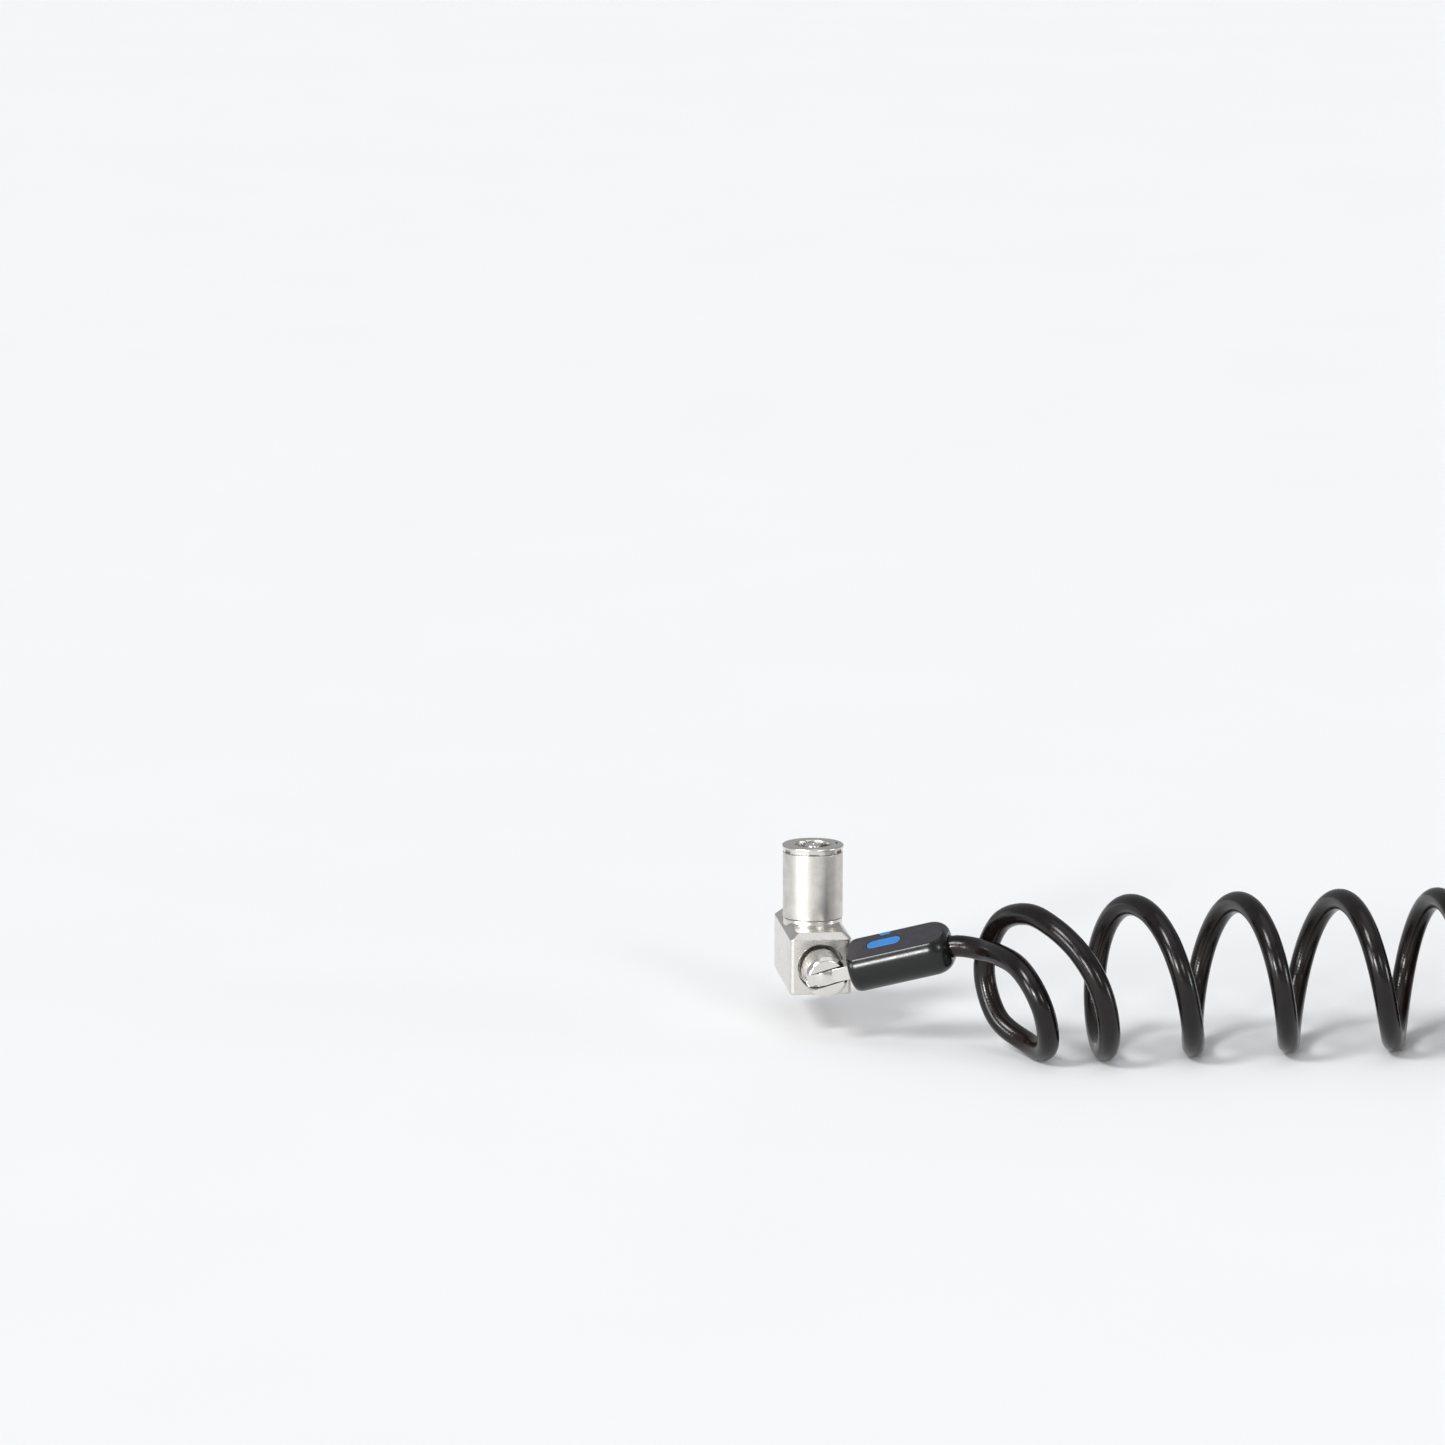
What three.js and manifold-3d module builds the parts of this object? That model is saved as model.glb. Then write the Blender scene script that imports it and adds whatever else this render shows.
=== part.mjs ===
// Laptop cable lock: a die-cast lock head with a round-key barrel, a swivelling stud, a hinged cable
// sleeve and a self-coiling steel cable that ends in a crimped loop. Millimetres, +Z up.
//
// The origin is the middle of the two hooks, on the plane where the head seats on the laptop.
// +Y points into the laptop, +X along its side towards the cable, and the barrel stands up along +Z.

import * as THREE from 'three';
import { mergeVertices } from 'three/addons/utils/BufferGeometryUtils.js';
import Module from 'manifold-3d';

const wasm = await Module();
wasm.setup();

// ---------------------------------------------------------------- driving dimensions

const RUN = 0.05;                 // radial running clearance of turning and sliding pieces
const SEAT = 0.02;                // gap round a piece that is pressed or riveted in place

const BLOCK_WIDTH = 10.4;
const BLOCK_DEPTH = 22;
const BLOCK_LOW = -5.2;
const BLOCK_TOP = 5.3;
const BLOCK_CHAMFER = 1.1;
const BLOCK_CORNER = 0.7;

const BARREL_Y = -BLOCK_DEPTH / 2;
const BARREL_RADIUS = 5.05;
const NECK_RADIUS = 4.95;
const NECK_TOP = 5.95;
const SPIGOT_RADIUS = 4.3;
const SPIGOT_LOW = 3.5;
const BARREL_TOP = 17.2;
const CORE_RADIUS = 3.9;          // bore of the barrel round the tumblers
const CORE_TOP = 13.4;            // shoulder that holds the plug down
const KEYWAY_RADIUS = 3.1;
const RIM_RADIUS = 5.2;
const RIM_TOP = 18.4;

const PIN_COUNT = 7;              // tumblers on a ring round the spindle
const PIN_CIRCLE = 2.3;
const PIN_RADIUS = 0.5;
const SHEAR_LINE = 9.45;          // height where the housing ends and the plug begins
const HOUSING_LOW = 3.6;
const HOUSING_FLOOR = 4.3;        // bottom of the tumbler bores
const DRIVER_LOW = 7.3;
const PLUG_TOP = 13.2;
const SPRING_WIRE = 0.14;
const SPRING_TURNS = 4;
const SPINDLE_RADIUS = 1.4;
const SPINDLE_TOP = 18.3;
const SPINDLE_FLAT = 0.95;        // half width across the flats that drive the cam

const CAM_RADIUS = 2.8;
const CAM_LOW = 1.5;
const CAM_TOP = 3.1;
const CAM_WEB = 0.5;              // closed floor of the cam below the spindle's end
const KEY_TURN = 90;              // degrees from locked to open
const SLIDE_TRAVEL = 2.4;
const CRANK_RADIUS = SLIDE_TRAVEL / 2 / Math.sin(THREE.MathUtils.degToRad(KEY_TURN / 2));
const CRANK_PIN_RADIUS = 0.6;
const CRANK_SLOT_HALF = 0.72;     // half width of the slot that the crank pin works in

const CAVITY_HALF = 3;
const CAVITY_TOP = 3.3;
const CAVITY_FRONT = -17;
const CAVITY_BACK = -4.3;
const SLIDE_HALF_HEIGHT = 1.3;
const SLIDE_HALF_WIDTH = 2.9;

const JAW_TRAVEL = 0.9;
const WEDGE_SLOPE = JAW_TRAVEL / SLIDE_TRAVEL;
const WEDGE_TIP_Y = -1.6;
const WEDGE_TIP_HALF = 0.94;
const JAW_BACK_Y = -4;
const JAW_OUTER = 3.4;
const JAW_SHOULDER = 4.2;
const JAW_HOOK = 4.3;
const JAW_INNER = 1;
const LAPTOP_WALL = 2.2;          // thickest laptop wall that the hooks reach behind
const JAW_TIP_Y = 3.7;
const NOSE_THICKNESS = 2;
const NOSE_HALF_WIDTH = 4.5;
const NOSE_HALF_HEIGHT = 4;
const NOSE_WINDOW = [3.55, 1.5];

const BASE_HALF_WIDTH = 4.4;
const BASE_THICKNESS = 1;
const BASE_FRONT = -18;
const BASE_BACK = -4.7;
const PAD_TOP = -1.4;

const STUD_Z = -0.5;
const STUD_RADIUS = 3.5;
const STUD_HOLE = 3.9;
const STUD_POCKET = 2.7;          // depth of the stud's pocket in the front face
const STUD_LENGTH = 7.9;          // how far the stud stands out of the front face
const SHANK_RADIUS = 2;
const SLOT_WIDTH = 2.5;
const SLOT_DEPTH = 6.4;
const PIVOT_BACK = 3;             // pivot pin's distance from the stud's end
const PIVOT_RADIUS = 0.8;
const PIVOT_TOP = 2.4;            // the pivot pin's hole is blind at the top
const TANG_THICKNESS = 2.3;
const TANG_RADIUS = 3.15;
const TANG_HALF_WIDTH = 2.55;     // where it enters the sleeve

const SPIN = THREE.MathUtils.degToRad(16);   // how far the stud is turned from level
const SWING = THREE.MathUtils.degToRad(18);  // how far the sleeve is swung away from the laptop

const SLEEVE_START = 4.8;         // distances along the sleeve are from the pivot pin
const SLEEVE_END = 21.9;
const SLEEVE_DEPTH = 8.6;
const SLEEVE_HEIGHT = 8;
const SOCKET_END = 13.5;
const SOCKET_RADIUS = 2.2;
const FACET_TILT = THREE.MathUtils.degToRad(14);  // the flat top leans towards the front
const FACET_HINGE_Y = 3.2;        // back edge of the flat top
const INLAY_LENGTH = 6;
const INLAY_WIDTH = 2.5;
const INLAY_DEPTH = 0.45;
const INLAY_X = 11.1;
const TOP_INLAY_DROP = 3.4;       // from the flat top's back edge to the middle of its inlay
const SLEEVE_ROUND = 1.6;
const DOT_RADIUS = 1.1;           // round inlay on the sleeve's top back edge
const DOT_DEPTH = 0.6;
const DOT_LEAN = THREE.MathUtils.degToRad(25);

const CABLE_RADIUS = 1.8;
const CORE_STRAND_RADIUS = 1.3;
const TABLE_Z = -12;              // the table that the coil lies on, below the held lock head
const COIL_RADIUS = 11.66;        // centreline of the cable
const COIL_Y = -43;
const COIL_Z = TABLE_Z + CABLE_RADIUS + COIL_RADIUS;
const COIL_OPEN = [36.6, 107];
const COIL_CLOSED = [107.3, 172.1];
const FERRULE_X = [186, 199];
const FERRULE_Y = -31.4;
const FERRULE_Z = -9;

// the cable's route from the sleeve round its first, widest turn, to where the coil proper begins
const LEAD_ROUTE = [
  [20.9, -34, 5.3], [22.9, -35.2, 5.3], [25, -37.7, 5.2], [26.5, -41.7, 5.4],
  [28.7, -47.4, 4.7], [30.5, -50.5, 2.2], [32.1, -51.8, -1.4], [33.1, -51.1, -5.1],
  [33.6, -48.7, -8.2], [33.3, -45, -10], [31.9, -40.4, -9.9], [27.6, -35.5, -6.7],
  [25.7, -32.7, 1.2],
  [27.6, -35.9, 9.3], [31.2, -43.6, 12.4], [34.4, -48.8, 11.2],
];
// from the coil's last turn along the table to the ferrule
const TAIL_ROUTE = [
  [175.4, -33.5, -10.2], [178.3, -32, -10.2], [181.8, -31.4, -10], [185.6, -31.4, -9.2],
];
// one side of the end loop: distance past the ferrule, half width of the loop there, height
const LOOP_SIDE = [
  [0.4, 1.95, -9.1], [6, 3.4, -10], [14, 8.6, -10.2], [23, 13.2, -10.2],
  [32, 14, -10.2], [39.4, 9.2, -10.2], [42.4, 0, -10.2],
];

// ---------------------------------------------------------------- finishes

const NICKEL = ['#b9b6b0', 0.32, 1];
const STEEL = ['#a3a3a2', 0.3, 1];
const BRASS = ['#b89552', 0.35, 1];
const MOULDING = ['#1b1b1d', 0.3, 0];
const BLUE = ['#3e87c8', 0.45, 0];
const CABLE = ['#211c1b', 0.25, 0];

// ---------------------------------------------------------------- geometry helpers

function toSolid(geometry) {
  const bare = geometry.clone();
  bare.deleteAttribute('normal');
  bare.deleteAttribute('uv');
  const merged = mergeVertices(bare, 1e-4);
  return new wasm.Manifold(new wasm.Mesh({
    numProp: 3,
    vertProperties: new Float32Array(merged.attributes.position.array),
    triVerts: new Uint32Array(merged.index.array),
  }));
}

function toGeometry(solid) {
  const mesh = solid.getMesh();
  const geometry = new THREE.BufferGeometry();
  geometry.setAttribute('position', new THREE.BufferAttribute(mesh.vertProperties, 3));
  geometry.setIndex(new THREE.BufferAttribute(mesh.triVerts, 1));
  geometry.computeVertexNormals();
  return geometry;
}

function join(...shapes) {
  return toGeometry(shapes.map(toSolid).reduce((a, b) => a.add(b)));
}

function cut(shape, ...tools) {
  return toGeometry(tools.map(toSolid).reduce((a, b) => a.subtract(b), toSolid(shape)));
}

function meet(first, second) {
  return toGeometry(toSolid(first).intersect(toSolid(second)));
}

function box([x0, x1], [y0, y1], [z0, z1]) {
  return new THREE.BoxGeometry(x1 - x0, y1 - y0, z1 - z0)
    .translate((x0 + x1) / 2, (y0 + y1) / 2, (z0 + z1) / 2);
}

// a disc or rod along Z
function rod(radius, z0, z1, sides = 24, x = 0, y = 0) {
  return new THREE.CylinderGeometry(radius, radius, z1 - z0, sides)
    .rotateX(Math.PI / 2)
    .translate(x, y, (z0 + z1) / 2);
}

// a disc or rod along Y
function rodY(radius, y0, y1, sides = 24, x = 0, z = 0) {
  return new THREE.CylinderGeometry(radius, radius, y1 - y0, sides).translate(x, (y0 + y1) / 2, z);
}

// a disc or rod along X
function rodX(radius, x0, x1, sides = 16) {
  return new THREE.CylinderGeometry(radius, radius, x1 - x0, sides)
    .rotateZ(-Math.PI / 2)
    .translate((x0 + x1) / 2, 0, 0);
}

// a turned piece about Z, from a profile of [radius, height] pairs that starts and ends on the axis
function turned(profile, sides = 32) {
  return new THREE.LatheGeometry(profile.map(([r, z]) => new THREE.Vector2(r, z)), sides)
    .rotateX(Math.PI / 2);
}

// a turned ring about Z, whose profile closes on itself
function turnedRing(profile, sides = 32) {
  return turned([...profile, profile[0]], sides);
}

function roundedRect(halfX, halfY, radius) {
  const shape = new THREE.Shape();
  shape.moveTo(halfX - radius, -halfY);
  shape.absarc(halfX - radius, -halfY + radius, radius, -Math.PI / 2, 0);
  shape.absarc(halfX - radius, halfY - radius, radius, 0, Math.PI / 2);
  shape.absarc(-halfX + radius, halfY - radius, radius, Math.PI / 2, Math.PI);
  shape.absarc(-halfX + radius, -halfY + radius, radius, Math.PI, 1.5 * Math.PI);
  shape.closePath();
  return shape;
}

function polygon(points) {
  return new THREE.Shape(points.map(([x, y]) => new THREE.Vector2(x, y)));
}

// a flat plate: the shape in X and Y, from z0 to z1
function plate(shape, z0, z1, curveSegments = 4) {
  return new THREE.ExtrudeGeometry(shape, { depth: z1 - z0, bevelEnabled: false, curveSegments })
    .translate(0, 0, z0);
}

// a round tube along a route of points
function tubeAlong(route, radius, sides, steps) {
  const curve = new THREE.CatmullRomCurve3(route.map((p) => new THREE.Vector3(...p)));
  const section = polygon(Array.from({ length: sides }, (_, i) => {
    const angle = (2 * Math.PI * (i + 0.5)) / sides;
    return [radius * Math.cos(angle), radius * Math.sin(angle)];
  }));
  return new THREE.ExtrudeGeometry(section, { steps, extrudePath: curve, bevelEnabled: false });
}

function piece(name, geometry, [color, roughness, metalness]) {
  const material = new THREE.MeshStandardMaterial({ color, roughness, metalness });
  const mesh = new THREE.Mesh(geometry, material);
  mesh.name = name;
  return mesh;
}

// ---------------------------------------------------------------- lock head

const FRONT = -BLOCK_DEPTH;
const WIDTH_HALF = BLOCK_WIDTH / 2;
const STUD_FLOOR = FRONT + STUD_POCKET;
const BASE_RIVETS = [[3.7, -7.5], [-3.7, -14.5]];
const NOSE_RIVETS = [2.75, -2.75];
const BARREL_PIN_Z = 6.9;

function blockBlank() {
  const half = BLOCK_DEPTH / 2;
  const body = plate(roundedRect(WIDTH_HALF, half, BLOCK_CORNER), BLOCK_LOW, BLOCK_TOP - BLOCK_CHAMFER);
  const inset = roundedRect(WIDTH_HALF - BLOCK_CHAMFER, half - BLOCK_CHAMFER, 0.2);
  const top = new THREE.ExtrudeGeometry(inset, {
    depth: 0.2,
    bevelThickness: BLOCK_CHAMFER,
    bevelSize: BLOCK_CHAMFER,
    bevelSegments: 1,
    curveSegments: 3,
  }).translate(0, 0, BLOCK_TOP - BLOCK_CHAMFER - 0.2);
  const neck = rod(NECK_RADIUS, BLOCK_TOP - 0.5, NECK_TOP, 32);
  return join(body, top, neck).translate(0, BARREL_Y, 0);
}

function lockBody() {
  const rivetHoles = BASE_RIVETS.map(([x, y]) => rod(0.5 + SEAT, BLOCK_LOW, -2.4, 10, x, y));
  const noseHoles = NOSE_RIVETS.map((z) => rodY(0.6 + SEAT, -NOSE_THICKNESS - 1.5, 1, 10, 0, z));
  return cut(
    blockBlank(),
    rod(SPIGOT_RADIUS + RUN, CAVITY_TOP, NECK_TOP + 1, 32, 0, BARREL_Y),
    box([-CAVITY_HALF, CAVITY_HALF], [CAVITY_FRONT, CAVITY_BACK], [BLOCK_LOW - 1, CAVITY_TOP + 0.1]),
    box([-BASE_HALF_WIDTH - RUN, BASE_HALF_WIDTH + RUN], [BASE_FRONT - RUN, BASE_BACK + RUN],
      [BLOCK_LOW - 1, BLOCK_LOW + BASE_THICKNESS + RUN]),
    box([-JAW_SHOULDER - 0.15, JAW_SHOULDER + 0.15], [CAVITY_BACK - 0.1, -NOSE_THICKNESS],
      [-NOSE_WINDOW[1], NOSE_WINDOW[1]]),
    box([-NOSE_HALF_WIDTH - RUN, NOSE_HALF_WIDTH + RUN], [-NOSE_THICKNESS - RUN, 1],
      [-NOSE_HALF_HEIGHT - RUN, NOSE_HALF_HEIGHT + RUN]),
    rodY(STUD_HOLE, FRONT - 1, STUD_FLOOR, 32, 0, STUD_Z),
    rodY(SHANK_RADIUS + RUN, STUD_FLOOR - 1, CAVITY_FRONT + 1, 20, 0, STUD_Z),
    ...rivetHoles,
    ...noseHoles,
  );
}

function basePlate() {
  const holes = BASE_RIVETS.map(([x, y]) => rod(0.5 + SEAT, BLOCK_LOW - 1, -3, 10, x, y));
  const body = join(
    box([-BASE_HALF_WIDTH, BASE_HALF_WIDTH], [BASE_FRONT, BASE_BACK], [BLOCK_LOW, BLOCK_LOW + BASE_THICKNESS]),
    box([-2.8, 2.8], [-15.6, BASE_BACK], [BLOCK_LOW, PAD_TOP]),
  );
  return cut(body, ...holes);
}

function nosePlate() {
  const holes = NOSE_RIVETS.map((z) => rodY(0.6 + SEAT, -NOSE_THICKNESS - 1, 1, 10, 0, z));
  return cut(
    box([-NOSE_HALF_WIDTH, NOSE_HALF_WIDTH], [-NOSE_THICKNESS, 0], [-NOSE_HALF_HEIGHT, NOSE_HALF_HEIGHT]),
    box([-NOSE_WINDOW[0], NOSE_WINDOW[0]], [-NOSE_THICKNESS - 1, 1], [-NOSE_WINDOW[1], NOSE_WINDOW[1]]),
    ...holes,
  );
}

// the jaw on the +X side; side is -1 for the other one
function jaw(side) {
  const spread = (y) => WEDGE_TIP_HALF + 0.06 + WEDGE_SLOPE * (WEDGE_TIP_Y - y);
  const outline = [
    [spread(JAW_BACK_Y), JAW_BACK_Y], [JAW_SHOULDER, JAW_BACK_Y], [JAW_SHOULDER, -NOSE_THICKNESS - 0.1],
    [JAW_OUTER, -NOSE_THICKNESS - 0.1], [JAW_OUTER, LAPTOP_WALL], [JAW_HOOK, LAPTOP_WALL],
    [JAW_HOOK, JAW_TIP_Y - 0.5], [JAW_HOOK - 0.5, JAW_TIP_Y], [JAW_INNER, JAW_TIP_Y],
    [JAW_INNER, WEDGE_TIP_Y],
  ];
  const drawn = side > 0 ? outline : outline.map(([x, y]) => [-x, y]).reverse();
  return plate(polygon(drawn), -SLIDE_HALF_HEIGHT, SLIDE_HALF_HEIGHT);
}

function lockSlide() {
  const crankY = BARREL_Y + SLIDE_TRAVEL / 2;
  const back = crankY - 2.1;
  const shoulder = crankY + 2.1;
  const root = WEDGE_TIP_HALF + WEDGE_SLOPE * (WEDGE_TIP_Y - JAW_BACK_Y);
  const outline = [
    [-SLIDE_HALF_WIDTH, back], [SLIDE_HALF_WIDTH, back], [SLIDE_HALF_WIDTH, shoulder],
    [root, shoulder + 0.6], [root, JAW_BACK_Y], [WEDGE_TIP_HALF, WEDGE_TIP_Y],
    [-WEDGE_TIP_HALF, WEDGE_TIP_Y], [-root, JAW_BACK_Y], [-root, shoulder + 0.6],
    [-SLIDE_HALF_WIDTH, shoulder],
  ];
  const body = plate(polygon(outline), -SLIDE_HALF_HEIGHT, SLIDE_HALF_HEIGHT);
  const slot = plate(roundedRect(2.5, CRANK_SLOT_HALF, 0.7), -2, 2).translate(0, crankY, 0);
  return cut(body, slot);
}

function barrelShell() {
  const shell = turnedRing([
    [CORE_RADIUS, SPIGOT_LOW], [SPIGOT_RADIUS, SPIGOT_LOW], [SPIGOT_RADIUS, NECK_TOP + RUN],
    [BARREL_RADIUS - 0.15, NECK_TOP + RUN], [BARREL_RADIUS, NECK_TOP + 0.25],
    [BARREL_RADIUS, BARREL_TOP - 0.2], [BARREL_RADIUS - 0.2, BARREL_TOP], [KEYWAY_RADIUS, BARREL_TOP],
    [KEYWAY_RADIUS, CORE_TOP], [CORE_RADIUS, CORE_TOP],
  ], 40).translate(0, BARREL_Y, 0);
  return cut(shell, rodY(0.6 + SEAT, BARREL_Y + 2, 0, 10, 0, BARREL_PIN_Z));
}

// the rim of the barrel, with its six narrow notches and the mouth of the keyway
function capRing() {
  const low = BARREL_TOP + RUN;
  const rim = turnedRing([
    [KEYWAY_RADIUS, low], [RIM_RADIUS - 0.25, low], [RIM_RADIUS - 0.25, low + 0.3],
    [RIM_RADIUS, low + 0.3], [RIM_RADIUS, RIM_TOP - 0.35], [RIM_RADIUS - 0.35, RIM_TOP],
    [KEYWAY_RADIUS + 0.2, RIM_TOP], [KEYWAY_RADIUS, RIM_TOP - 0.2],
  ], 40);
  const notches = Array.from({ length: 6 }, (_, i) => (
    box([-0.7, 0.7], [-RIM_RADIUS - 1, -RIM_RADIUS + 0.5], [low - 1, low + 0.55])
      .rotateZ((i * Math.PI) / 3 - 0.09)
  ));
  return cut(rim, ...notches).translate(0, BARREL_Y, 0);
}

function pinPlaces() {
  return Array.from({ length: PIN_COUNT }, (_, i) => {
    const angle = (2 * Math.PI * i) / PIN_COUNT;
    return [PIN_CIRCLE * Math.sin(angle), PIN_CIRCLE * Math.cos(angle)];
  });
}

function tumblerHousing() {
  const top = SHEAR_LINE - 0.03;
  const body = rod(CORE_RADIUS - SEAT, HOUSING_LOW, top, 32);
  const bores = pinPlaces().map(([x, y]) => rod(PIN_RADIUS + RUN, HOUSING_FLOOR, top + 1, 10, x, y));
  const bored = cut(body, rod(SPINDLE_RADIUS + RUN, HOUSING_LOW - 1, top + 1, 20), ...bores);
  const pinHole = rodY(0.6 + SEAT, 3, 5, 10, 0, BARREL_PIN_Z);
  return cut(bored, pinHole).translate(0, BARREL_Y, 0);
}

function keyPlug() {
  const low = SHEAR_LINE + 0.03;
  const body = rod(CORE_RADIUS - RUN, low, PLUG_TOP, 32);
  const bores = pinPlaces().map(([x, y]) => rod(PIN_RADIUS + RUN, low - 1, PLUG_TOP + 1, 10, x, y));
  return cut(body, rod(SPINDLE_RADIUS + SEAT, low - 1, PLUG_TOP + 1, 20), ...bores)
    .translate(0, BARREL_Y, 0);
}

function keySpindle() {
  const post = turned([
    [0, CAM_LOW + CAM_WEB + RUN], [SPINDLE_RADIUS, CAM_LOW + CAM_WEB + RUN], [SPINDLE_RADIUS, SPINDLE_TOP - 0.3],
    [SPINDLE_RADIUS - 0.3, SPINDLE_TOP], [0, SPINDLE_TOP],
  ], 20);
  const flats = [1, -1].map((side) => (
    box([side > 0 ? SPINDLE_FLAT : -3, side > 0 ? 3 : -SPINDLE_FLAT], [-3, 3], [CAM_LOW, CAM_TOP + 0.1])
  ));
  return cut(post, ...flats).translate(0, BARREL_Y, 0);
}

function cam() {
  const lean = Math.PI / 4;
  const crank = rod(CRANK_PIN_RADIUS, -1.2, CAM_LOW + 0.3, 14,
    CRANK_RADIUS * Math.cos(lean), CRANK_RADIUS * Math.sin(lean));
  const hole = cut(
    rod(SPINDLE_RADIUS + SEAT, CAM_LOW - 3, CAM_TOP + 1, 20),
    box([SPINDLE_FLAT + SEAT, 3], [-3, 3], [-9, 9]),
    box([-3, -SPINDLE_FLAT - SEAT], [-3, 3], [-9, 9]),
  );
  const web = box([-3, 3], [-3, 3], [-9, CAM_LOW + CAM_WEB]);
  return join(cut(rod(CAM_RADIUS, CAM_LOW, CAM_TOP, 28), cut(hole, web)), crank)
    .translate(0, BARREL_Y, 0);
}

function tumblerSpring(x, y) {
  const low = HOUSING_FLOOR + SPRING_WIRE + 0.05;
  const high = DRIVER_LOW - SPRING_WIRE - 0.05;
  const stepsPerTurn = 7;
  const route = Array.from({ length: SPRING_TURNS * stepsPerTurn + 1 }, (_, i) => {
    const angle = (2 * Math.PI * i) / stepsPerTurn;
    const reach = PIN_RADIUS - SPRING_WIRE - 0.04;
    const climb = i / (SPRING_TURNS * stepsPerTurn);
    return [x + reach * Math.cos(angle), y + reach * Math.sin(angle), low + climb * (high - low)];
  });
  return tubeAlong(route, SPRING_WIRE, 4, SPRING_TURNS * stepsPerTurn).translate(0, BARREL_Y, 0);
}

// ---------------------------------------------------------------- swivelling stud

// in the stud's own frame: the axis is local Y through the origin, y as in the lock's frame
function swivelStud() {
  const end = FRONT - STUD_LENGTH;
  const profile = [
    [0, end], [STUD_RADIUS - 0.6, end], [STUD_RADIUS, end + 0.6], [STUD_RADIUS, STUD_FLOOR - 0.4],
    [SHANK_RADIUS, STUD_FLOOR - 0.4], [SHANK_RADIUS, -16.95], [1.55, -16.95], [1.55, -16.4],
    [SHANK_RADIUS, -16.4], [SHANK_RADIUS - 0.2, -15.9], [0, -15.9],
  ];
  const body = new THREE.LatheGeometry(profile.map(([r, y]) => new THREE.Vector2(r, y)), 32);
  return cut(
    body,
    box([-5, 5], [end - 1, end + SLOT_DEPTH], [-SLOT_WIDTH / 2, SLOT_WIDTH / 2]),
    rod(PIVOT_RADIUS + SEAT, -5, PIVOT_TOP + 0.1, 16, 0, end + PIVOT_BACK),
  );
}

function studWasher() {
  const low = STUD_FLOOR - 0.35;
  const high = STUD_FLOOR - 0.05;
  const ring = [[SHANK_RADIUS + 0.15, low], [STUD_HOLE - 0.3, low], [STUD_HOLE - 0.3, high],
    [SHANK_RADIUS + 0.15, high], [SHANK_RADIUS + 0.15, low]];
  return new THREE.LatheGeometry(ring.map(([r, y]) => new THREE.Vector2(r, y)), 28);
}

function studClip() {
  const ring = [[1.6, -16.88], [2.7, -16.88], [2.7, -16.5], [1.6, -16.5], [1.6, -16.88]];
  const whole = new THREE.LatheGeometry(ring.map(([r, y]) => new THREE.Vector2(r, y)), 24);
  return cut(whole, box([-1.1, 1.1], [-18, -15], [-4, -0.2]));
}

function pivotPin() {
  return rod(PIVOT_RADIUS, -3.3, PIVOT_TOP, 16);
}

// ---------------------------------------------------------------- cable sleeve
// in the cable end's own frame: the pivot pin is local Z through the origin, the cable leaves along +X

function cableTang() {
  const strap = new THREE.Shape();
  strap.absarc(0, 0, TANG_RADIUS, Math.PI / 2, 1.5 * Math.PI);
  strap.lineTo(3.2, -TANG_HALF_WIDTH);
  strap.lineTo(6, -TANG_HALF_WIDTH);
  strap.lineTo(6, TANG_HALF_WIDTH);
  strap.lineTo(3.2, TANG_HALF_WIDTH);
  strap.closePath();
  const flat = plate(strap, -TANG_THICKNESS / 2, TANG_THICKNESS / 2, 8);
  const body = join(flat, rodX(SOCKET_RADIUS, 5.2, SOCKET_END, 20));
  return cut(body, rod(PIVOT_RADIUS + RUN, -3, 3, 16), rodX(CORE_STRAND_RADIUS + SEAT, 7.5, 20, 14));
}

function cableEnd() {
  return new THREE.LatheGeometry([
    [0, 7.7], [CORE_STRAND_RADIUS, 7.7], [CORE_STRAND_RADIUS, SOCKET_END + 0.3],
    [CABLE_RADIUS, SOCKET_END + 0.3], [CABLE_RADIUS, SLEEVE_END - 0.1], [0, SLEEVE_END - 0.1],
  ].map(([r, x]) => new THREE.Vector2(r, x)), 14).rotateZ(-Math.PI / 2);
}

function pill(length, width) {
  const shape = new THREE.Shape();
  const reach = (length - width) / 2;
  shape.absarc(reach, 0, width / 2, -Math.PI / 2, Math.PI / 2);
  shape.absarc(-reach, 0, width / 2, Math.PI / 2, 1.5 * Math.PI);
  shape.closePath();
  return shape;
}

function sleeveInlay(grow) {
  return plate(pill(INLAY_LENGTH + 2 * grow, INLAY_WIDTH + 2 * grow), -INLAY_DEPTH - grow, grow > 0 ? 1 : 0.04, 5);
}

// puts a shape drawn over the XY plane onto the leaning flat top, with its back edge along X
function ontoFacet(geometry) {
  return geometry.rotateX(FACET_TILT).translate(0, FACET_HINGE_Y, SLEEVE_HEIGHT / 2);
}

function topInlay(grow = 0) {
  return ontoFacet(sleeveInlay(grow).translate(INLAY_X, -TOP_INLAY_DROP, 0));
}

// the round inlay's cutter, along a direction that leans back from straight up
function dotPlug(grow = 0) {
  return rod(DOT_RADIUS + grow, SLEEVE_ROUND - DOT_DEPTH - grow, SLEEVE_ROUND + 2, 20)
    .rotateX(-DOT_LEAN)
    .translate(INLAY_X, SLEEVE_DEPTH / 2 - SLEEVE_ROUND, SLEEVE_HEIGHT / 2 - SLEEVE_ROUND);
}

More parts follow.
